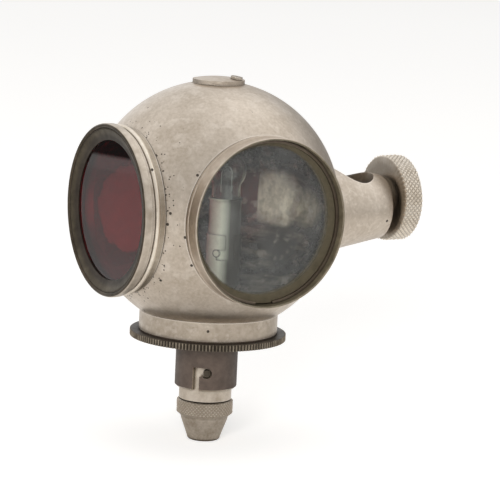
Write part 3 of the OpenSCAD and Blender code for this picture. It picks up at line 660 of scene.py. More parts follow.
def outward(points: np.ndarray, faces: np.ndarray) -> np.ndarray:
    """Turns the faces of a closed surface outwards, so that the signed volume under them is positive.

    Args:
        points: The surface's points.
        faces: Point numbers, four to a face.

    Returns:
        The faces, each in the order that points it outwards.
    """
    a, b, c, d = (points[faces[:, k]] for k in range(4))
    volume = np.einsum("ij,ij->", a, np.cross(b, c) + np.cross(c, d))
    return faces if volume > 0 else faces[:, ::-1]


def new_piece(name: str, points: np.ndarray, faces: np.ndarray, finish: Finish,
              crest: Optional[np.ndarray] = None) -> Object:
    """Makes a mesh object at the origin from points and four-sided faces.

    Args:
        name: The piece's name.
        points: Points in metres in the lamp's frame.
        faces: Point numbers, four to a face.
        finish: The piece's finish.
        crest: How far each point stands out of its groove, from 0 to 1, if the piece is knurled.

    Returns:
        The new object.
    """
    mesh = bpy.data.meshes.new(name)
    mesh.vertices.add(len(points))
    mesh.vertices.foreach_set("co", points.astype(np.float32).ravel())
    mesh.loops.add(faces.size)
    mesh.loops.foreach_set("vertex_index", faces.astype(np.int32).ravel())
    mesh.polygons.add(len(faces))
    mesh.polygons.foreach_set("loop_start", np.arange(0, faces.size, 4, dtype=np.int32))
    mesh.polygons.foreach_set("use_smooth", np.ones(len(faces), bool))
    mesh.update(calc_edges=True)
    mesh.set_sharp_from_angle(angle=math.radians(SHARP_DEG))
    if crest is not None:
        heights = mesh.attributes.new("crest", "FLOAT", "POINT")
        heights.data.foreach_set("value", crest.astype(np.float32).ravel())
    mesh.materials.append(finish.material())
    piece = bpy.data.objects.new(name, mesh)
    bpy.context.scene.collection.objects.link(piece)
    return piece


def turned(profile: np.ndarray, facing: Facing, centre_mm: Sequence[float], angles: int,
           rise: Optional[np.ndarray] = None) -> tuple[np.ndarray, np.ndarray]:
    """Carries a closed profile round an axis: centre + height * axis + radius * (cos, sin across it).

    Args:
        profile: Radius and height of each point of the profile, in millimetres.
        facing: The way that the axis runs.
        centre_mm: A point of the axis, where heights are zero.
        angles: Steps round the axis.
        rise: What each point of each step stands out by, in millimetres.

    Returns:
        The points in metres, and the faces.
    """
    axis, across, beside = facing.axes
    turn = np.linspace(0, 2 * np.pi, angles, endpoint=False)
    radius = profile[:, 0, None] + (0 if rise is None else rise)
    ring = np.cos(turn)[:, None] * across + np.sin(turn)[:, None] * beside
    points = radius[:, :, None] * ring + profile[:, 1, None, None] * axis
    points = MM * (np.array(centre_mm) + points.reshape(-1, 3))
    return points, outward(points, quads(len(profile), angles, True, True))


def arc(centre: Pair, radius: float, start_deg: float, end_deg: float, steps: int) -> np.ndarray:
    """Points of a circular arc in a profile: centre + radius * (cos, sin).

    Args:
        centre: Radius and height of the arc's centre.
        radius: The arc's own radius.
        start_deg: Angle of its first point.
        end_deg: Angle of its last point.
        steps: Stretches between its points.

    Returns:
        Radius and height of each point.
    """
    a = np.radians(np.linspace(start_deg, end_deg, steps + 1))
    return np.stack([centre[0] + radius * np.cos(a), centre[1] + radius * np.sin(a)], -1)


def line(start: Pair, end: Pair, steps: int) -> np.ndarray:
    """Points of a straight stretch of a profile, both ends included."""
    return np.linspace(start, end, steps + 1)


def blisters(centres: np.ndarray, normals: np.ndarray, radii_mm: np.ndarray, rings: int = 4,
             angles: int = 12, inner: float = 0.02, rise: float = 0.12) -> tuple[np.ndarray, np.ndarray]:
    """Small flat domes: each point lies s of the radius from the middle and rise * (1 - s * s) radii up.

    Args:
        centres: Where each dome stands, in metres.
        normals: The way that each dome faces.
        radii_mm: Radius of each dome.
        rings: Rings of points in a dome.
        angles: Points in a ring.
        inner: Share of the radius where the first ring lies.
        rise: Height of a dome's middle, in radii.

    Returns:
        The points of all the domes in metres, and their faces.
    """
    leaning = np.abs(normals[:, 2:]) < UPRIGHT_FROM
    across = np.cross(normals, np.where(leaning, (0.0, 0.0, 1.0), (1.0, 0.0, 0.0)))
    across /= np.linalg.norm(across, axis=1)[:, None]
    beside = np.cross(normals, across)
    share = np.linspace(inner, 1.0, rings)[:, None, None]
    turn = np.linspace(0, 2 * np.pi, angles, endpoint=False)[None, :, None]
    flat = share * (np.cos(turn) * across[:, None, None, :] + np.sin(turn) * beside[:, None, None, :])
    bulge = rise * (1 - share ** 2) * normals[:, None, None, :]
    points = centres[:, None, None, :] + MM * radii_mm[:, None, None, None] * (flat + bulge)
    dome = quads(rings, angles, False, True)
    starts = rings * angles * np.arange(len(centres))
    return points.reshape(-1, 3), (dome[None] + starts[:, None, None]).reshape(-1, 4)


def band_of(node: str, axis: int) -> Pair:
    """Lowest and highest coordinate of a CAD node along an axis, in millimetres."""
    low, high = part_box(node)
    return low[axis] / MM, high[axis] / MM


@dataclass(frozen=True)
class Knurl:
    """A diamond knurl: two sets of slanted grooves, with diamonds that are worn unevenly."""

    count: int
    depth_mm: float
    flat: float
    wear: float
    rows: int
    steps: int
    seed: int = 3

    @property
    def angles(self) -> int:
        """Steps round the piece."""
        return self.count * self.steps

    def crests(self, profile: np.ndarray, band: slice, from_mm: float, row_mm: float) -> np.ndarray:
        """Height over the grooves: the lower of two ramps, each 0 in its groove and 1 midway to the next.

        The crests are cut flat, and each diamond keeps a share of its height that is drawn for it.

        Args:
            profile: Radius and height of each point of the profile.
            band: The points of the profile that are knurled.
            from_mm: Height where a row of diamonds starts.
            row_mm: Height of one diamond.

        Returns:
            A height from 0 to 1 for each point and step, which is 0 outside the band.
        """
        round_share = self.count * np.arange(self.angles) / self.angles
        up_share = (profile[band, 1, None] - from_mm) / row_mm
        shares = [round_share + way * up_share for way in (1, -1)]
        ramps = [np.abs(2 * (share - np.round(share))) for share in shares]
        kept = np.random.default_rng(self.seed).uniform(1 - self.wear, 1, (self.count, self.count))
        along, beside = (np.floor(share).astype(int) % self.count for share in shares)
        crest = np.zeros((len(profile), self.angles))
        crest[band] = kept[along, beside] * np.clip(np.minimum(*ramps) / (1 - self.flat), 0, 1)
        return crest


# Nickel over spun brass, worn to satin: warm grey with duller blotches and dark seams.
SPUN_NICKEL = AgedMetal("nickel_plate_spun", "#d2c6b8", "#b7a999", scuff_share=0.25)
# Where the light on the inside of the ball ends: at the red glass's shade, below the window and above it.
RED_SHADE = Circle((8.0, 34.0, -1.0), 31.3, 0.5)
FLOOR_SHADE = Circle((-14.0, 31.0, 50.4), 60.0, 1.5)
TOP_SHADE = Circle((-14.0, 31.0, -51.5), 60.0, 2.5)
# The ball has the same plate outside; inside it is dark, with painted pools of light and shade and painted
# streaks of reflection.
BALL_NICKEL = PaintedLightMetal(
    "nickel_plate_ball", "#d1c5b7", "#b6a999", worn="#e4dace", mottle_mm=0.9, scuff_mm=4.0, scuff_share=0.3,
    speck_share=0.45, corner_shade_from=0.85, other_mm=(35.7, 35.5), other=("#37342f", "#191715"),
    other_roughness=(0.2, 0.34), other_relief=0.1, other_metallic=0.75, patches=(
        # Painted, in order: red light from the red glass, a dark band of shade under the window's pool of
        # light, that pool of light, a fainter lobe of it, and a pool of light on the far wall.
        Patch(Circle((-20.5, 28.0, -0.2), 9.0, 2.5), 0.95, (FLOOR_SHADE,), ("#5e1519", "#3d0c10")),
        Patch(Circle((-14.0, 31.0, -13.5), 8.0, 5.0), 0.7, (), ("#1e1c19", "#141210")),
        Patch(Circle((-17.8, 29.6, -0.2), 11.2, 5.0), 0.9, (RED_SHADE, FLOOR_SHADE, TOP_SHADE)),
        Patch(Circle((-5.5, 34.7, -2.6), 7.5, 4.5), 0.42, (FLOOR_SHADE,), ("#e9ddc0", "#93886c")),
        Patch(Circle((-33.7, -8.5, -5.1), 13.5, 1.2), 1.0, (), ("#fbf1df", "#d8ccba"))))
# The boss is plated; the hole for the bracket's peg and its edge are painted dark as shade.
BOSS_NICKEL = TwoToneMetal(
    "nickel_plate_boss", "#d0c4b6", "#bbae9e", worn="#e6dccf", mottle_mm=0.9, scuff_share=0.35, scuff_mm=1.6,
    middle_mm=(0.0, 0.0, 2.0), other_mm=(9.4, 8.8), other=("#4a4238", "#2f2a24"), other_metallic=0.6)
# The neck below the ball is scuffed pale in patches.
NECK_NICKEL = AgedMetal(
    "nickel_plate_neck", "#c4b8a9", "#a89b8b", worn="#e4dbcf", scuff_share=0.3, speck_share=0.6)
# The collar's bead carries a painted highlight in its bright tone, and the wall where it steps down a
# painted brown shade.
COLLAR_NICKEL = TwoToneMetal(
    "nickel_plate_collar", "#eee4d5", "#d8ccbb", worn="#f2eadd", corner_shade_from=0.85, across=Across.LENGTHWAYS,
    other_mm=(23.5, 23.35), other=("#a99c8a", "#86796a"))
# The bezel is plated, but its lip is stained dark where it meets the black ring.
BEZEL_NICKEL = TwoToneMetal(
    "nickel_plate_bezel", "#cfc4b6", "#b0a393", "#40372d", "#e4dacb", roughness=(0.28, 0.4), blotch_mm=6.0,
    scratch_way=(0.12, 0.12, 1.0), middle_mm=(0.0, -102.5, 1.6), other_mm=(33.8, 33.68),
    other=("#5b5145", "#40392f"))
# The window's rim is plated outside and bronze inside.
RIM_NICKEL = TwoToneMetal(
    "nickel_plate_rim", "#d2c6b8", "#b9ab9b", across=Across.SIDEWAYS, other_mm=(23.52, 23.42),
    other=("#746a57", "#4f4838"), blotch_mm=5.0, corner_shade_from=0.55, other_metallic=0.3)
# Nickel over turned brass: a little finer and brighter than the spun ball.
TURNED_NICKEL = AgedMetal(
    "nickel_plate_turned", "#cfc4b6", "#b0a393", "#40372d", "#e4dacb", roughness=(0.28, 0.4), blotch_mm=6.0,
    scratch_way=(0.12, 0.12, 1.0))
# Knurled heads: bright crests over grooves darkened by painted shade and dirt, deep on the thumb nut and
# shallow on the gland.
KNURLED_NICKEL = KnurledNickel(
    "nickel_plate_knurled", "#efe5d7", "#d9cdbc", "#857969", "#fbf4e8", roughness=(0.3, 0.42), blotch_mm=5.0,
    groove="#55493d", corner_shade_reach_mm=0.4, speck_mm=0.7, speck_share=0.5)
GLAND_NICKEL = KnurledNickel(
    "nickel_plate_gland", "#ccc1b3", "#ac9f8f", "#5d5244", "#e0d6c8", roughness=(0.42, 0.54), blotch_mm=4.0,
    mottle_mm=0.7, groove="#a09383", scratch_way=(0.12, 0.12, 1.0), relief_mm=0.05)
# Brass blackened in a bath, rubbed brown on its edges.
BLACK_RING = TwoToneMetal(
    "blackened_brass_ring", "#463f37", "#37312b", "#1c1916", "#7b6f60", roughness=(0.38, 0.5), metallic=0.85,
    blotch_mm=5.0, edge_wear=0.4, edge_mm=0.2, across=Across.LENGTHWAYS, other_mm=(20.6, 21.8),
    other=("#5f5749", "#463f35"))
BLACK_FLANGE = TwoToneMetal(
    "blackened_brass_flange", "#524a40", "#3f3932", "#1c1916", "#8b7f6f", roughness=(0.38, 0.5),
    metallic=0.85, blotch_mm=5.0, edge_wear=0.3, edge_mm=0.2, across=Across.UPRIGHT, other_mm=(22.2, 22.4),
    other=("#b3a795", "#6d6355"))
# Brass bronzed dark brown, still smooth from the lathe.
BRONZED = AgedMetal(
    "bronzed_brass", "#75695b", "#5b5046", "#1d1814", "#8d8070", roughness=(0.36, 0.46), metallic=0.8,
    blotch_mm=6.0, edge_wear=0.5)
# The socket's tube is bronzed outside and bright in its bore and slots.
TUBE_BRASS = TwoToneMetal(
    "bronzed_brass_tube", "#5b4e45", "#483d36", "#1d1814", "#6c5f54", roughness=(0.5, 0.6), metallic=0.2,
    blotch_mm=6.0, edge_wear=0.3, corner_shade_reach_mm=0.5, across=Across.UPRIGHT, other_mm=(8.88, 8.8),
    other=("#d8cebf", "#bdb1a0"))
# Bulb cap and holder: matt white-grey plate that scatters the light from the window, with painted shade on
# the side away from it.
HOLDER_PLATE = TwoToneMetal(
    "holder_plate", "#f3f7e6", "#dcdfcd", "#1d1a16", "#38332a", roughness=(0.45, 0.58), metallic=0.1,
    blotch_mm=5.0, edge_mm=0.3, edge_wear=0.85, corner_shade_reach_mm=1.0, corner_shade_from=0.9, across=Across.UPRIGHT,
    other_mm=(3.5, 5.3), other=("#3b3830", "#2a2822"), other_metallic=0.1)
# Bare brass of the contacts, and tinned spring wire.
CONTACT_BRASS = AgedMetal("contact_brass", "#c9a765", "#9c7f48", "#3b2d1a", "#dfc58c", roughness=(0.25, 0.4))
SPRING_WIRE = AgedMetal("spring_wire", "#b4b4b0", "#8f8f8b", "#2c2a28", "#cfcfca", roughness=(0.25, 0.35))
# Dark oxide that stands in the pits of the plate.
PIT_OXIDE = AgedMetal(
    "pit_oxide", "#3b332a", "#2a241e", "#1d1814", "#4d443a", roughness=(0.6, 0.7), metallic=0.0)
# Pressed ruby glass, flat plate glass and a thin blown bulb, each clear and smooth under its dust.
RUBY_GLASS = OldGlass("ruby_glass", "#a9212f")
PLATE_GLASS = BeddedGlass("plate_glass", "#f4f7f4", dust_most=0.03, clear_middle_mm=(0.0, -45.4, 2.2))
BLOWN_GLASS = OldGlass("blown_glass", "#eef2f0", dust_most=0.04, dust_mm=4.0)
# Matt and short-grained: soot on the bulb's stem, pressed red-brown fibre and dark cork.
SOOTED_STEM = Fibre("sooted_glass", "#4a4842", "#2f2d29", grain_mm=1.5)
RED_FIBRE = Fibre("vulcanised_fibre", "#7c5236", "#5c3a26")
PACKING = Fibre("cork_packing", "#4b3f34", "#2d2620", grain_mm=0.9, roughness=0.85)


@dataclass
class PhotoCamera:
    """The camera at the photograph's place, which looks down a little and leans to its right."""

    eye_mm: Triple = (619.74, -393.48, 104.41)
    azimuth_deg: float = 59.73
    elevation_deg: float = 9.12
    roll_deg: float = 2.64
    focal_px: float = 2521.6
    frame_px: tuple[int, int] = (500, 495)
    sensor_mm: float = 36.0
    clip_m: Pair = (0.01, 100.0)

    @property
    def eye(self) -> Vector:
        """The camera's place in metres."""
        return Vector(self.eye_mm) * MM

    def axes(self) -> Matrix:
        """Gives the camera's turn.

        Returns:
            Right, up and back as the columns of a matrix.
        """
        turns_deg = (self.azimuth_deg, self.elevation_deg, self.roll_deg)
        around, above, lean = (math.radians(turn) for turn in turns_deg)
        level = Vector((math.cos(around), math.sin(around), 0))
        back = Vector((level.y * math.cos(above), -level.x * math.cos(above), math.sin(above)))
        right = math.cos(lean) * level + math.sin(lean) * back.cross(level)
        return Matrix((right, back.cross(right), back)).transposed()

    def meets(self, node: str, x: float, y: float) -> Optional[tuple[Vector, Vector]]:
        """Finds where the line of sight through a place in the picture meets a CAD node.

        Args:
            node: The CAD node's name.
            x: Pixels from the picture's left edge.
            y: Pixels from its top.

        Returns:
            The point and the surface's normal there, or nothing if the line misses the node.
        """
        wide, high = self.frame_px
        way = (self.axes() @ Vector((x - wide / 2, high / 2 - y, -self.focal_px))).normalized()
        hit, spot, normal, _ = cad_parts[node].ray_cast(self.eye, way)
        return (spot, normal) if hit else None

    def build(self) -> None:
        """Adds the camera to the scene."""
        data = bpy.data.cameras.new("photo_camera")
        data.sensor_width = self.sensor_mm
        data.lens = self.focal_px * self.sensor_mm / self.frame_px[0]
        data.clip_start, data.clip_end = self.clip_m
        camera = bpy.data.objects.new("photo_camera", data)
        camera.matrix_world = Matrix.Translation(self.eye) @ self.axes().to_4x4()
        bpy.context.scene.collection.objects.link(camera)
        bpy.context.scene.camera = camera


class SubAssembly(ABC):
    """A group of pieces that are built and dressed together."""

    finishes: ClassVar[Mapping[str, Finish]] = {}

    def build(self) -> None:
        """Makes the group's new pieces; a group of CAD nodes alone makes none."""

    def dress(self) -> None:
        """Gives each CAD node of the group its finish."""
        for node, finish in self.finishes.items():
            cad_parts[node].data.materials.clear()
            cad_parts[node].data.materials.append(finish.material())
            log.info("%s: %s", node, finish.name)

    def place(self, piece: Object, body: Body, slot: Slot, *replaced: str) -> None:
        """Puts a new piece on its body, in place of CAD nodes.

        Args:
            piece: The new piece.
            body: The body that it moves with.
            slot: The record's slot for its finish; not used.
            replaced: CAD nodes that it stands for.
        """
        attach(piece, body.value)
        if replaced:
            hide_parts(*replaced)
        log.info("%s: on %s", piece.name, body.value)


@dataclass
class BallBody(SubAssembly):
    """The ball with its crown plate."""

    finishes: ClassVar[Mapping[str, Finish]] = {
        "body_shell": BALL_NICKEL, "top_plate": SPUN_NICKEL, "plate_screw": TURNED_NICKEL,
        "neck_ring": NECK_NICKEL, "bracket_boss": BOSS_NICKEL}
    pits_px: Mapping[str, tuple[str, float, float]] = field(default_factory=lambda: {
        "over_window": ("body_shell", 214.4, 160.2), "left_of_window": ("body_shell", 197.5, 175.3),
        "left_of_window_low": ("body_shell", 195.2, 186.2), "beside_collar": ("body_shell", 170.4, 213.4),
        "beside_collar_low": ("body_shell", 167.6, 224.4), "under_middle": ("body_shell", 185.1, 237.5),
        "by_window_foot": ("body_shell", 191.6, 265.5), "by_collar_foot": ("body_shell", 160.6, 280.4),
        "on_bead": ("lens_collar", 152.2, 169.6), "on_neck": ("neck_ring", 208.0, 331.5),
        "on_boss": ("bracket_boss", 387.0, 221.0)})
    pit_mm: float = 0.42
    seam_pits: int = 150
    seam_pit_share: Pair = (0.2, 0.6)
    seam_deg: float = 40.5
    seam_spread_deg: float = 2.2
    ball_mm: float = 36.0
    seed: int = 7

    def build(self) -> None:
        """Sets the pits: large ones where the picture has them, and a sprinkle along the collar's seam."""
        camera = PhotoCamera()
        hits = filter(None, (camera.meets(*place) for place in self.pits_px.values()))
        spots, ups = (np.array(vectors) for vectors in zip(*hits))
        chance = np.random.default_rng(self.seed)
        tilt = np.radians(self.seam_deg + chance.exponential(self.seam_spread_deg, self.seam_pits))
        turn = chance.uniform(0, 2 * np.pi, self.seam_pits)
        around = np.stack([np.sin(tilt) * np.cos(turn), -np.cos(tilt), np.sin(tilt) * np.sin(turn)], -1)
        centres = np.concatenate([spots, MM * (np.array(LAMP_MM) + self.ball_mm * around)])
        small = chance.uniform(*self.seam_pit_share, self.seam_pits)
        radii = self.pit_mm * np.concatenate([np.ones(len(spots)), small])
        domes = blisters(centres, np.concatenate([ups, around]), radii)
        self.place(new_piece("plate_pits", *domes, PIT_OXIDE), Body.LAMP, Slot.NICKEL)


@dataclass
class RedLens(SubAssembly):
    """Collar, ruby glass, black ring and bezel."""

    finishes: ClassVar[Mapping[str, Finish]] = {
        "lens_gasket": PACKING, "red_lens": RUBY_GLASS, "lens_retaining_ring": BLACK_RING,
        "lens_bezel": BEZEL_NICKEL}
    wall_r_mm: float = 23.38
    tail_r_mm: float = 22.8
    bore_r_mm: float = 21.4
    spigot_r_mm: float = 22.6
    ledge_r_mm: float = 19.6
    ledge_mm: float = 0.8
    seam_mm: Pair = (27.9, 27.75)
    bead_r_mm: float = 24.0
    bead_back_mm: float = 29.28
    bead_mm: float = 1.7
    bead_steps: int = 10
    angles: int = 180

    def build(self) -> None:
        """Turns the collar: a wall that stands clear of the ball at its foot, the bead and the spigot."""
        front, tail = (LAMP_MM[1] - y for y in band_of("lens_collar", 1))
        ledge = LAMP_MM[1] - band_of("lens_gasket", 1)[1]
        half = self.bead_mm / 2
        profile = np.concatenate([
            [(self.bore_r_mm, tail), (self.tail_r_mm, tail), (self.tail_r_mm, self.seam_mm[0]),
             (self.wall_r_mm, self.seam_mm[1]), (self.wall_r_mm, self.bead_back_mm)],
            arc((self.bead_r_mm - half, self.bead_back_mm + half), half, -90, 90, self.bead_steps),
            [(self.spigot_r_mm, self.bead_back_mm + self.bead_mm), (self.spigot_r_mm, front),
             (self.bore_r_mm, front), (self.bore_r_mm, ledge), (self.ledge_r_mm, ledge),
             (self.ledge_r_mm, ledge - self.ledge_mm), (self.bore_r_mm, ledge - self.ledge_mm)]])
        surface = turned(profile, Facing.FRONT, LAMP_MM, self.angles)
        collar = new_piece("lens_collar_turned", *surface, COLLAR_NICKEL)
        self.place(collar, Body.LAMP, Slot.NICKEL, "lens_collar")


@dataclass
class SideWindow(SubAssembly):
    """Rim, clear pane and its spring ring."""

    finishes: ClassVar[Mapping[str, Finish]] = {
        "window_gasket": PACKING, "window_glass": PLATE_GLASS, "window_spring_ring": BRONZED}
    foot_r_mm: float = 23.72
    wall_r_mm: float = 23.66
    bore_r_mm: float = 23.0
    groove_r_mm: float = 23.5
    groove_mm: float = 27.4
    seam_mm: float = 27.5
    band_mm: float = 0.9
    gap_mm: float = 0.36
    ledge_r_mm: float = 21.0
    lip_mm: float = 0.33
    lip_steps: int = 12
    angles: int = 180

    def build(self) -> None:
        """Turns the rim: a narrow band at its foot, a groove, a plain wall and a rounded lip."""
        tail, face = band_of("window_rim", 0)
        ledge = band_of("window_gasket", 0)[0]
        band = self.seam_mm + self.band_mm
        profile = np.concatenate([
            [(self.ledge_r_mm, tail), (self.groove_r_mm, tail), (self.groove_r_mm, self.groove_mm),
             (self.foot_r_mm, self.seam_mm), (self.foot_r_mm, band),
             (self.groove_r_mm, band + self.gap_mm / 2), (self.wall_r_mm, band + self.gap_mm),
             (self.wall_r_mm, face - 2 * self.lip_mm)],
            arc((self.wall_r_mm - self.lip_mm, face - self.lip_mm), self.lip_mm, 0, 180, self.lip_steps),
            [(self.bore_r_mm, ledge), (self.ledge_r_mm, ledge)]])
        surface = turned(profile, Facing.SIDE, LAMP_MM, self.angles)
        rim = new_piece("window_rim_turned", *surface, RIM_NICKEL)
        self.place(rim, Body.LAMP, Slot.NICKEL, "window_rim")


@dataclass
class ThumbScrew(SubAssembly):
    """Clamp screw with its washer and a diamond-knurled head."""

    finishes: ClassVar[Mapping[str, Finish]] = {
        "clamp_screw": TURNED_NICKEL, "clamp_washer": TURNED_NICKEL}
    knurl: Knurl = Knurl(count=54, depth_mm=0.45, flat=0.25, wear=0.45, rows=42, steps=12)
    diamond_rows: int = 4
    edge_mm: float = 0.3
    rim_mm: float = 2.8
    dish_mm: float = 1.0
    groove_shade: float = 0.4
    face_shade: float = 0.28
    bore_mm: float = 3.05
    face_steps: int = 3
    rim_steps: int = 2

    def build(self) -> None:
        """Turns the head's outline and cuts the diamonds into its rim."""
        left, right = band_of("thumb_nut", 0)
        face, back = band_of("thumb_nut", 1)
        root = (right - left) / 2 - self.knurl.depth_mm
        dish = root - self.edge_mm / 2 - self.rim_mm
        floor = back - self.dish_mm
        inner = line((self.bore_mm, face), (root - self.edge_mm, face), self.face_steps)
        rim = line((root, face + self.edge_mm), (root, back - self.edge_mm), self.knurl.rows)
        profile = np.concatenate([
            inner,
            rim,
            line((root - self.edge_mm, back), (dish, back), self.rim_steps),
            line((dish - self.dish_mm, floor), (self.bore_mm, floor), self.face_steps)])
        band = slice(len(inner), len(inner) + len(rim))
        row_mm = (rim[-1, 1] - rim[0, 1]) / self.diamond_rows
        crest = self.knurl.crests(profile, band, rim[0, 1], row_mm)
        centre = (0.0, 0.0, sum(band_of("thumb_nut", 2)) / 2)
        surface = turned(profile, Facing.BACK, centre, self.knurl.angles, self.knurl.depth_mm * crest)
        # The crest attribute now gives the tone: grooves and the face toward the ball get painted shade.
        crest = self.groove_shade + (1 - self.groove_shade) * crest
        crest[:band.start] = self.face_shade
        crest[band.stop:] = 1
        nut = new_piece("thumb_nut_knurled", *surface, KNURLED_NICKEL, crest)
        self.place(nut, Body.THUMB_SCREW, Slot.TURNED, "thumb_nut")


@dataclass
class Base(SubAssembly):
    """Knurled flange with its packing, and the socket below it."""

    finishes: ClassVar[Mapping[str, Finish]] = {
        "base_packing": PACKING, "base_flange": BLACK_FLANGE, "connector_socket": TUBE_BRASS,
        "socket_insulator": RED_FIBRE, "socket_contacts": CONTACT_BRASS}


@dataclass
class CablePlug(SubAssembly):
    """Bayonet plug with sprung contacts, and the gland nut that grips the cable."""

    finishes: ClassVar[Mapping[str, Finish]] = {
        "plug_shell": TURNED_NICKEL, "plug_pins": BLACK_FLANGE, "plug_insulator": RED_FIBRE,
        "plug_plungers": CONTACT_BRASS, "plug_springs": SPRING_WIRE, "gland_ferrule": CONTACT_BRASS}
    knurl: Knurl = Knurl(count=48, depth_mm=0.24, flat=0.2, wear=0.4, rows=34, steps=10)
    band_mm: float = 4.2
    shoulder_mm: float = 1.4
    shoulder_r_mm: float = 6.75
    foot_r_mm: float = 4.8
    round_mm: float = 1.0
    edge_mm: float = 0.3
    cable_r_mm: float = 3.0
    seat_r_mm: float = 3.95
    seat_spread_mm: float = 1.2
    bore_r_mm: float = 6.38
    spigot_mm: float = 3.09
    seat_mm: float = 3.8
    shoulder_deg: Pair = (130.0, 180.0)
    round_steps: int = 8
    bore_steps: int = 2

    def build(self) -> None:
        """Turns the gland nut, with fine diamonds on its band."""
        low, top = band_of("gland_nut", 2)
        left, right = band_of("gland_nut", 0)
        radius = (right - left) / 2
        root = radius - self.knurl.depth_mm
        foot = top - self.band_mm
        shoulder = foot - self.shoulder_mm
        seat_top = top - self.spigot_mm
        seat = seat_top - self.seat_mm
        rim = line((root, top - self.edge_mm), (root, foot + self.edge_mm), self.knurl.rows)
        profile = np.concatenate([
            [(root - self.edge_mm, top)],
            rim,
            [(root - self.edge_mm, foot)],
            arc((self.shoulder_r_mm + self.shoulder_mm, shoulder), self.shoulder_mm, *self.shoulder_deg,
                self.round_steps),
            arc((self.foot_r_mm - self.round_mm, low + self.round_mm), self.round_mm, 0, -90,
                self.round_steps),
            line((self.cable_r_mm, low), (self.cable_r_mm, seat), self.bore_steps),
            line((self.seat_r_mm, seat), (self.seat_r_mm + self.seat_spread_mm, seat_top),
                 self.bore_steps),
            line((self.bore_r_mm, seat_top), (self.bore_r_mm, top), self.bore_steps)])
        band = slice(1, 1 + len(rim))
        crest = self.knurl.crests(profile, band, foot, 2 * math.pi * radius / self.knurl.count)
        centre = (0.0, LAMP_MM[1], 0.0)
        surface = turned(profile, Facing.UP, centre, self.knurl.angles, self.knurl.depth_mm * crest)
        crest[:band.start] = crest[band.stop:] = 1
        nut = new_piece("gland_nut_knurled", *surface, GLAND_NICKEL, crest)
        self.place(nut, Body.GLAND, Slot.TURNED, "gland_nut")


@dataclass
class BulbHolder(SubAssembly):
    """Bayonet holder on its stem, with the bulb."""

    finishes: ClassVar[Mapping[str, Finish]] = {
        "holder_stem": HOLDER_PLATE, "foot_screws": TURNED_NICKEL, "holder_barrel": HOLDER_PLATE,
        "holder_insulator": RED_FIBRE, "holder_plunger": CONTACT_BRASS, "holder_spring": SPRING_WIRE,
        "bulb_cap": HOLDER_PLATE, "bulb_pins": HOLDER_PLATE, "bulb_contact": CONTACT_BRASS,
        "bulb_glass": BLOWN_GLASS, "bulb_stem": SOOTED_STEM, "bulb_filament": SPRING_WIRE}


@dataclass(frozen=True)
class PaleFloor(Finish):
    """Matt white board, which shows white to the eye and keeps the lamp's shadow."""

    name: str = "pale_board"
    board: str = "#e8e6e3"
    glow: float = 0.47
    far_glow: float = 0.05
    far_mm: Pair = (400.0, 1800.0)
    mirrored_glow: float = 0.26
    glow_reach_mm: Pair = (350.0, 200.0)
    under_shadow_mm: Pair = (0.0, 55.0)
    edge_slope: Triple = (0.286, 1.0, 0.0)
    strip_glow: float = 0.1
    strip_mm: Pair = (-499.0, -504.0)
    dark_share: float = 0.9
    dark_mm: Pair = (-536.0, -548.0)
    dark_side: Triple = (1.0, 0.0, 0.0)
    dark_side_mm: Pair = (-380.0, -420.0)
    shade_share: float = 0.9

    def shade(self, tree: NodeTree) -> NodeSocket:
        """Board lit by the lamps, with a glow that the eye, metal and glass see and the lamp isn't lit by.

        Metal and glass see the glow near the lamp but not right under it, where a shadow is painted, then a
        light strip and the dark room beyond the board.

        Args:
            tree: The material's empty node tree.

        Returns:
            The board's surface.
        """
        spot = add(tree, "TexCoord", out="Object")
        foot_mm = (0.0, LAMP_MM[1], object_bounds()[0].z / MM)
        far = fade(tree, spot, foot_mm, self.far_mm, most=self.far_glow)
        near = fade(tree, spot, foot_mm, self.glow_reach_mm, most=self.mirrored_glow)
        # Metal and glass see no glow right under the lamp: a painted shadow.
        under = fade(tree, spot, foot_mm, self.under_shadow_mm)
        strip = self.past(tree, spot, self.edge_slope, self.strip_mm, self.strip_glow)
        ahead = self.past(tree, spot, self.edge_slope, self.dark_mm, self.dark_share)
        aside = self.past(tree, spot, self.dark_side, self.dark_side_mm)
        mirrored = add(tree, "Math", {0: near, 1: under, 2: strip}, operation="MULTIPLY_ADD")
        plain = add(tree, "Math", {0: far, 1: self.glow})
        level = add(tree, "MapRange", {
            "Value": add(tree, "LightPath", out="Is Camera Ray"), "To Min": mirrored, "To Max": plain})
        glow = add(tree, "Emission", {"Color": linear(WHITE), "Strength": level})
        board = linear(self.board)
        lit = add(tree, "BsdfDiffuse", {"Color": board})
        shaded = add(tree, "BsdfDiffuse", {"Color": [self.shade_share * c for c in board[:3]] + [1.0]})
        shown = add(tree, "AddShader", {0: shaded, 1: glow})
        beyond = add(tree, "Math", {0: ahead, 1: aside}, operation="MULTIPLY")
        glossy = add(tree, "LightPath", out="Is Glossy Ray")
        room = add(tree, "Math", {0: beyond, 1: glossy}, operation="MULTIPLY")
        dark = add(tree, "BsdfDiffuse", {"Color": linear(BLACK)})
        shown = add(tree, "MixShader", {0: room, 1: shown, 2: dark})
        return add(tree, "MixShader", {0: seen_share(tree), 1: lit, 2: shown})

    def past(self, tree: NodeTree, spot: NodeSocket, way: Triple, limits_mm: Pair,
             most: float = 1.0) -> NodeSocket:
        """A level that changes along a way over the board.

        Args:
            tree: The material's node tree.
            spot: Where the level is read.
            way: The way along which it changes.
            limits_mm: Distances along the way where the level is nothing and where it is full.
            most: The level where it is full.

        Returns:
            A value from 0 to the most.
        """
        along = add(tree, "VectorMath", {0: spot, 1: way}, "Value", operation="DOT_PRODUCT")
        start, full = (limit * MM for limit in limits_mm)
        return add(tree, "MapRange", {"Value": along, "From Min": start, "From Max": full, "To Max": most})


class SkySide(NamedTuple):
    """A side of the sky that metal and glass see at another level, which is full straight ahead."""

    way: Triple
    starts: float
    level: float


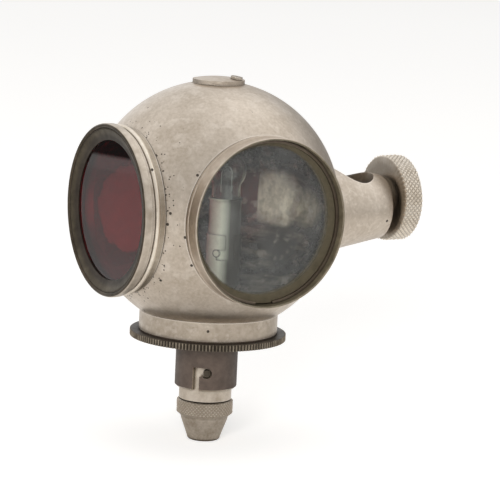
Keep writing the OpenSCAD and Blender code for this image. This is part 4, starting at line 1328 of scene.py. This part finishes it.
class SoftLamp(NamedTuple):
    """A round lamp that faces the ball."""

    place_m: Triple
    size_m: float
    power_w: float


@dataclass
class Studio:
    """A pale floor under a white sky, and soft lamps."""

    floor_m: float = 6.0
    floor_points: int = 3
    sky: float = 0.5
    sky_bright: float = 1.04
    side_full: float = 0.97
    sides: Mapping[str, SkySide] = field(default_factory=lambda: {
        "camera": SkySide((0.853, -0.498, 0.1), 0.1, 0.72),
        "behind_boss": SkySide((-0.36, 0.92, -0.15), 0.55, 0.3),
        "over_boss": SkySide((-0.1, 0.68, 0.73), 0.7, 1.2)})
    lamps: Mapping[str, SoftLamp] = field(default_factory=lambda: {
        "key": SoftLamp((1.4, -0.79, 0.42), 0.5, 10.5),
        "side": SoftLamp((1.12, -1.13, 0.45), 0.5, 14.5),
        "top": SoftLamp((0.0, 0.1, 1.6), 1.6, 6.0)})

    def build(self) -> None:
        """Adds the floor, the sky and the lamps."""
        scene = bpy.context.scene
        scene.view_settings.view_transform = "Standard"
        reach = np.linspace(-self.floor_m / 2, self.floor_m / 2, self.floor_points)
        x, y = np.meshgrid(reach, reach, indexing="ij")
        points = np.stack([x, y, np.full_like(x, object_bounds()[0].z)], -1).reshape(-1, 3)
        faces = quads(self.floor_points, self.floor_points, False, False)[:, ::-1]
        floor = new_piece("floor", points, faces, PaleFloor())
        floor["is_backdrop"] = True
        self.light_sky(scene)
        for name, (place, size, power) in self.lamps.items():
            data = bpy.data.lights.new(name, "AREA")
            data.shape, data.size, data.energy = "DISK", size, power
            lamp = bpy.data.objects.new(name, data)
            lamp.visible_glossy = lamp.visible_transmission = False
            aim = (Vector(LAMP_MM) * MM - Vector(place)).to_track_quat("-Z", "Y")
            lamp.matrix_world = Matrix.Translation(place) @ aim.to_matrix().to_4x4()
            scene.collection.objects.link(lamp)

    def light_sky(self, scene: Scene) -> None:
        """Makes a sky that lights at a plain level and that the eye, metal and glass see as white.

        Args:
            scene: The scene that gets the sky.
        """
        scene.world = bpy.data.worlds.new("studio")
        scene.world.use_nodes = True
        tree = scene.world.node_tree
        tree.nodes.clear()
        way = add(tree, "TexCoord", out="Generated")
        level: Any = self.sky_bright
        for side in self.sides.values():
            ahead = add(tree, "VectorMath", {0: way, 1: side.way}, "Value", operation="DOT_PRODUCT")
            shade = add(tree, "MapRange", {
                "Value": ahead, "From Min": side.starts, "From Max": self.side_full,
                "To Min": 1.0, "To Max": side.level}, interpolation_type="SMOOTHSTEP")
            level = add(tree, "Math", {0: level, 1: shade}, operation="MULTIPLY")
        dim, white = (
            add(tree, "Background", {"Color": linear(WHITE), "Strength": strength})
            for strength in (self.sky, level))
        sky = add(tree, "MixShader", {0: seen_share(tree), 1: dim, 2: white})
        add(tree, "OutputWorld", {"Surface": sky})


def main() -> None:
    """Builds the camera, the lamp's sub-assemblies and the studio in order."""
    logging.basicConfig(level=logging.INFO, format="%(name)s %(message)s")
    PhotoCamera().build()
    for group in (BallBody(), RedLens(), SideWindow(), ThumbScrew(), Base(), CablePlug(), BulbHolder()):
        group.build()
        group.dress()
    Studio().build()


if __name__ == "__main__":
    main()
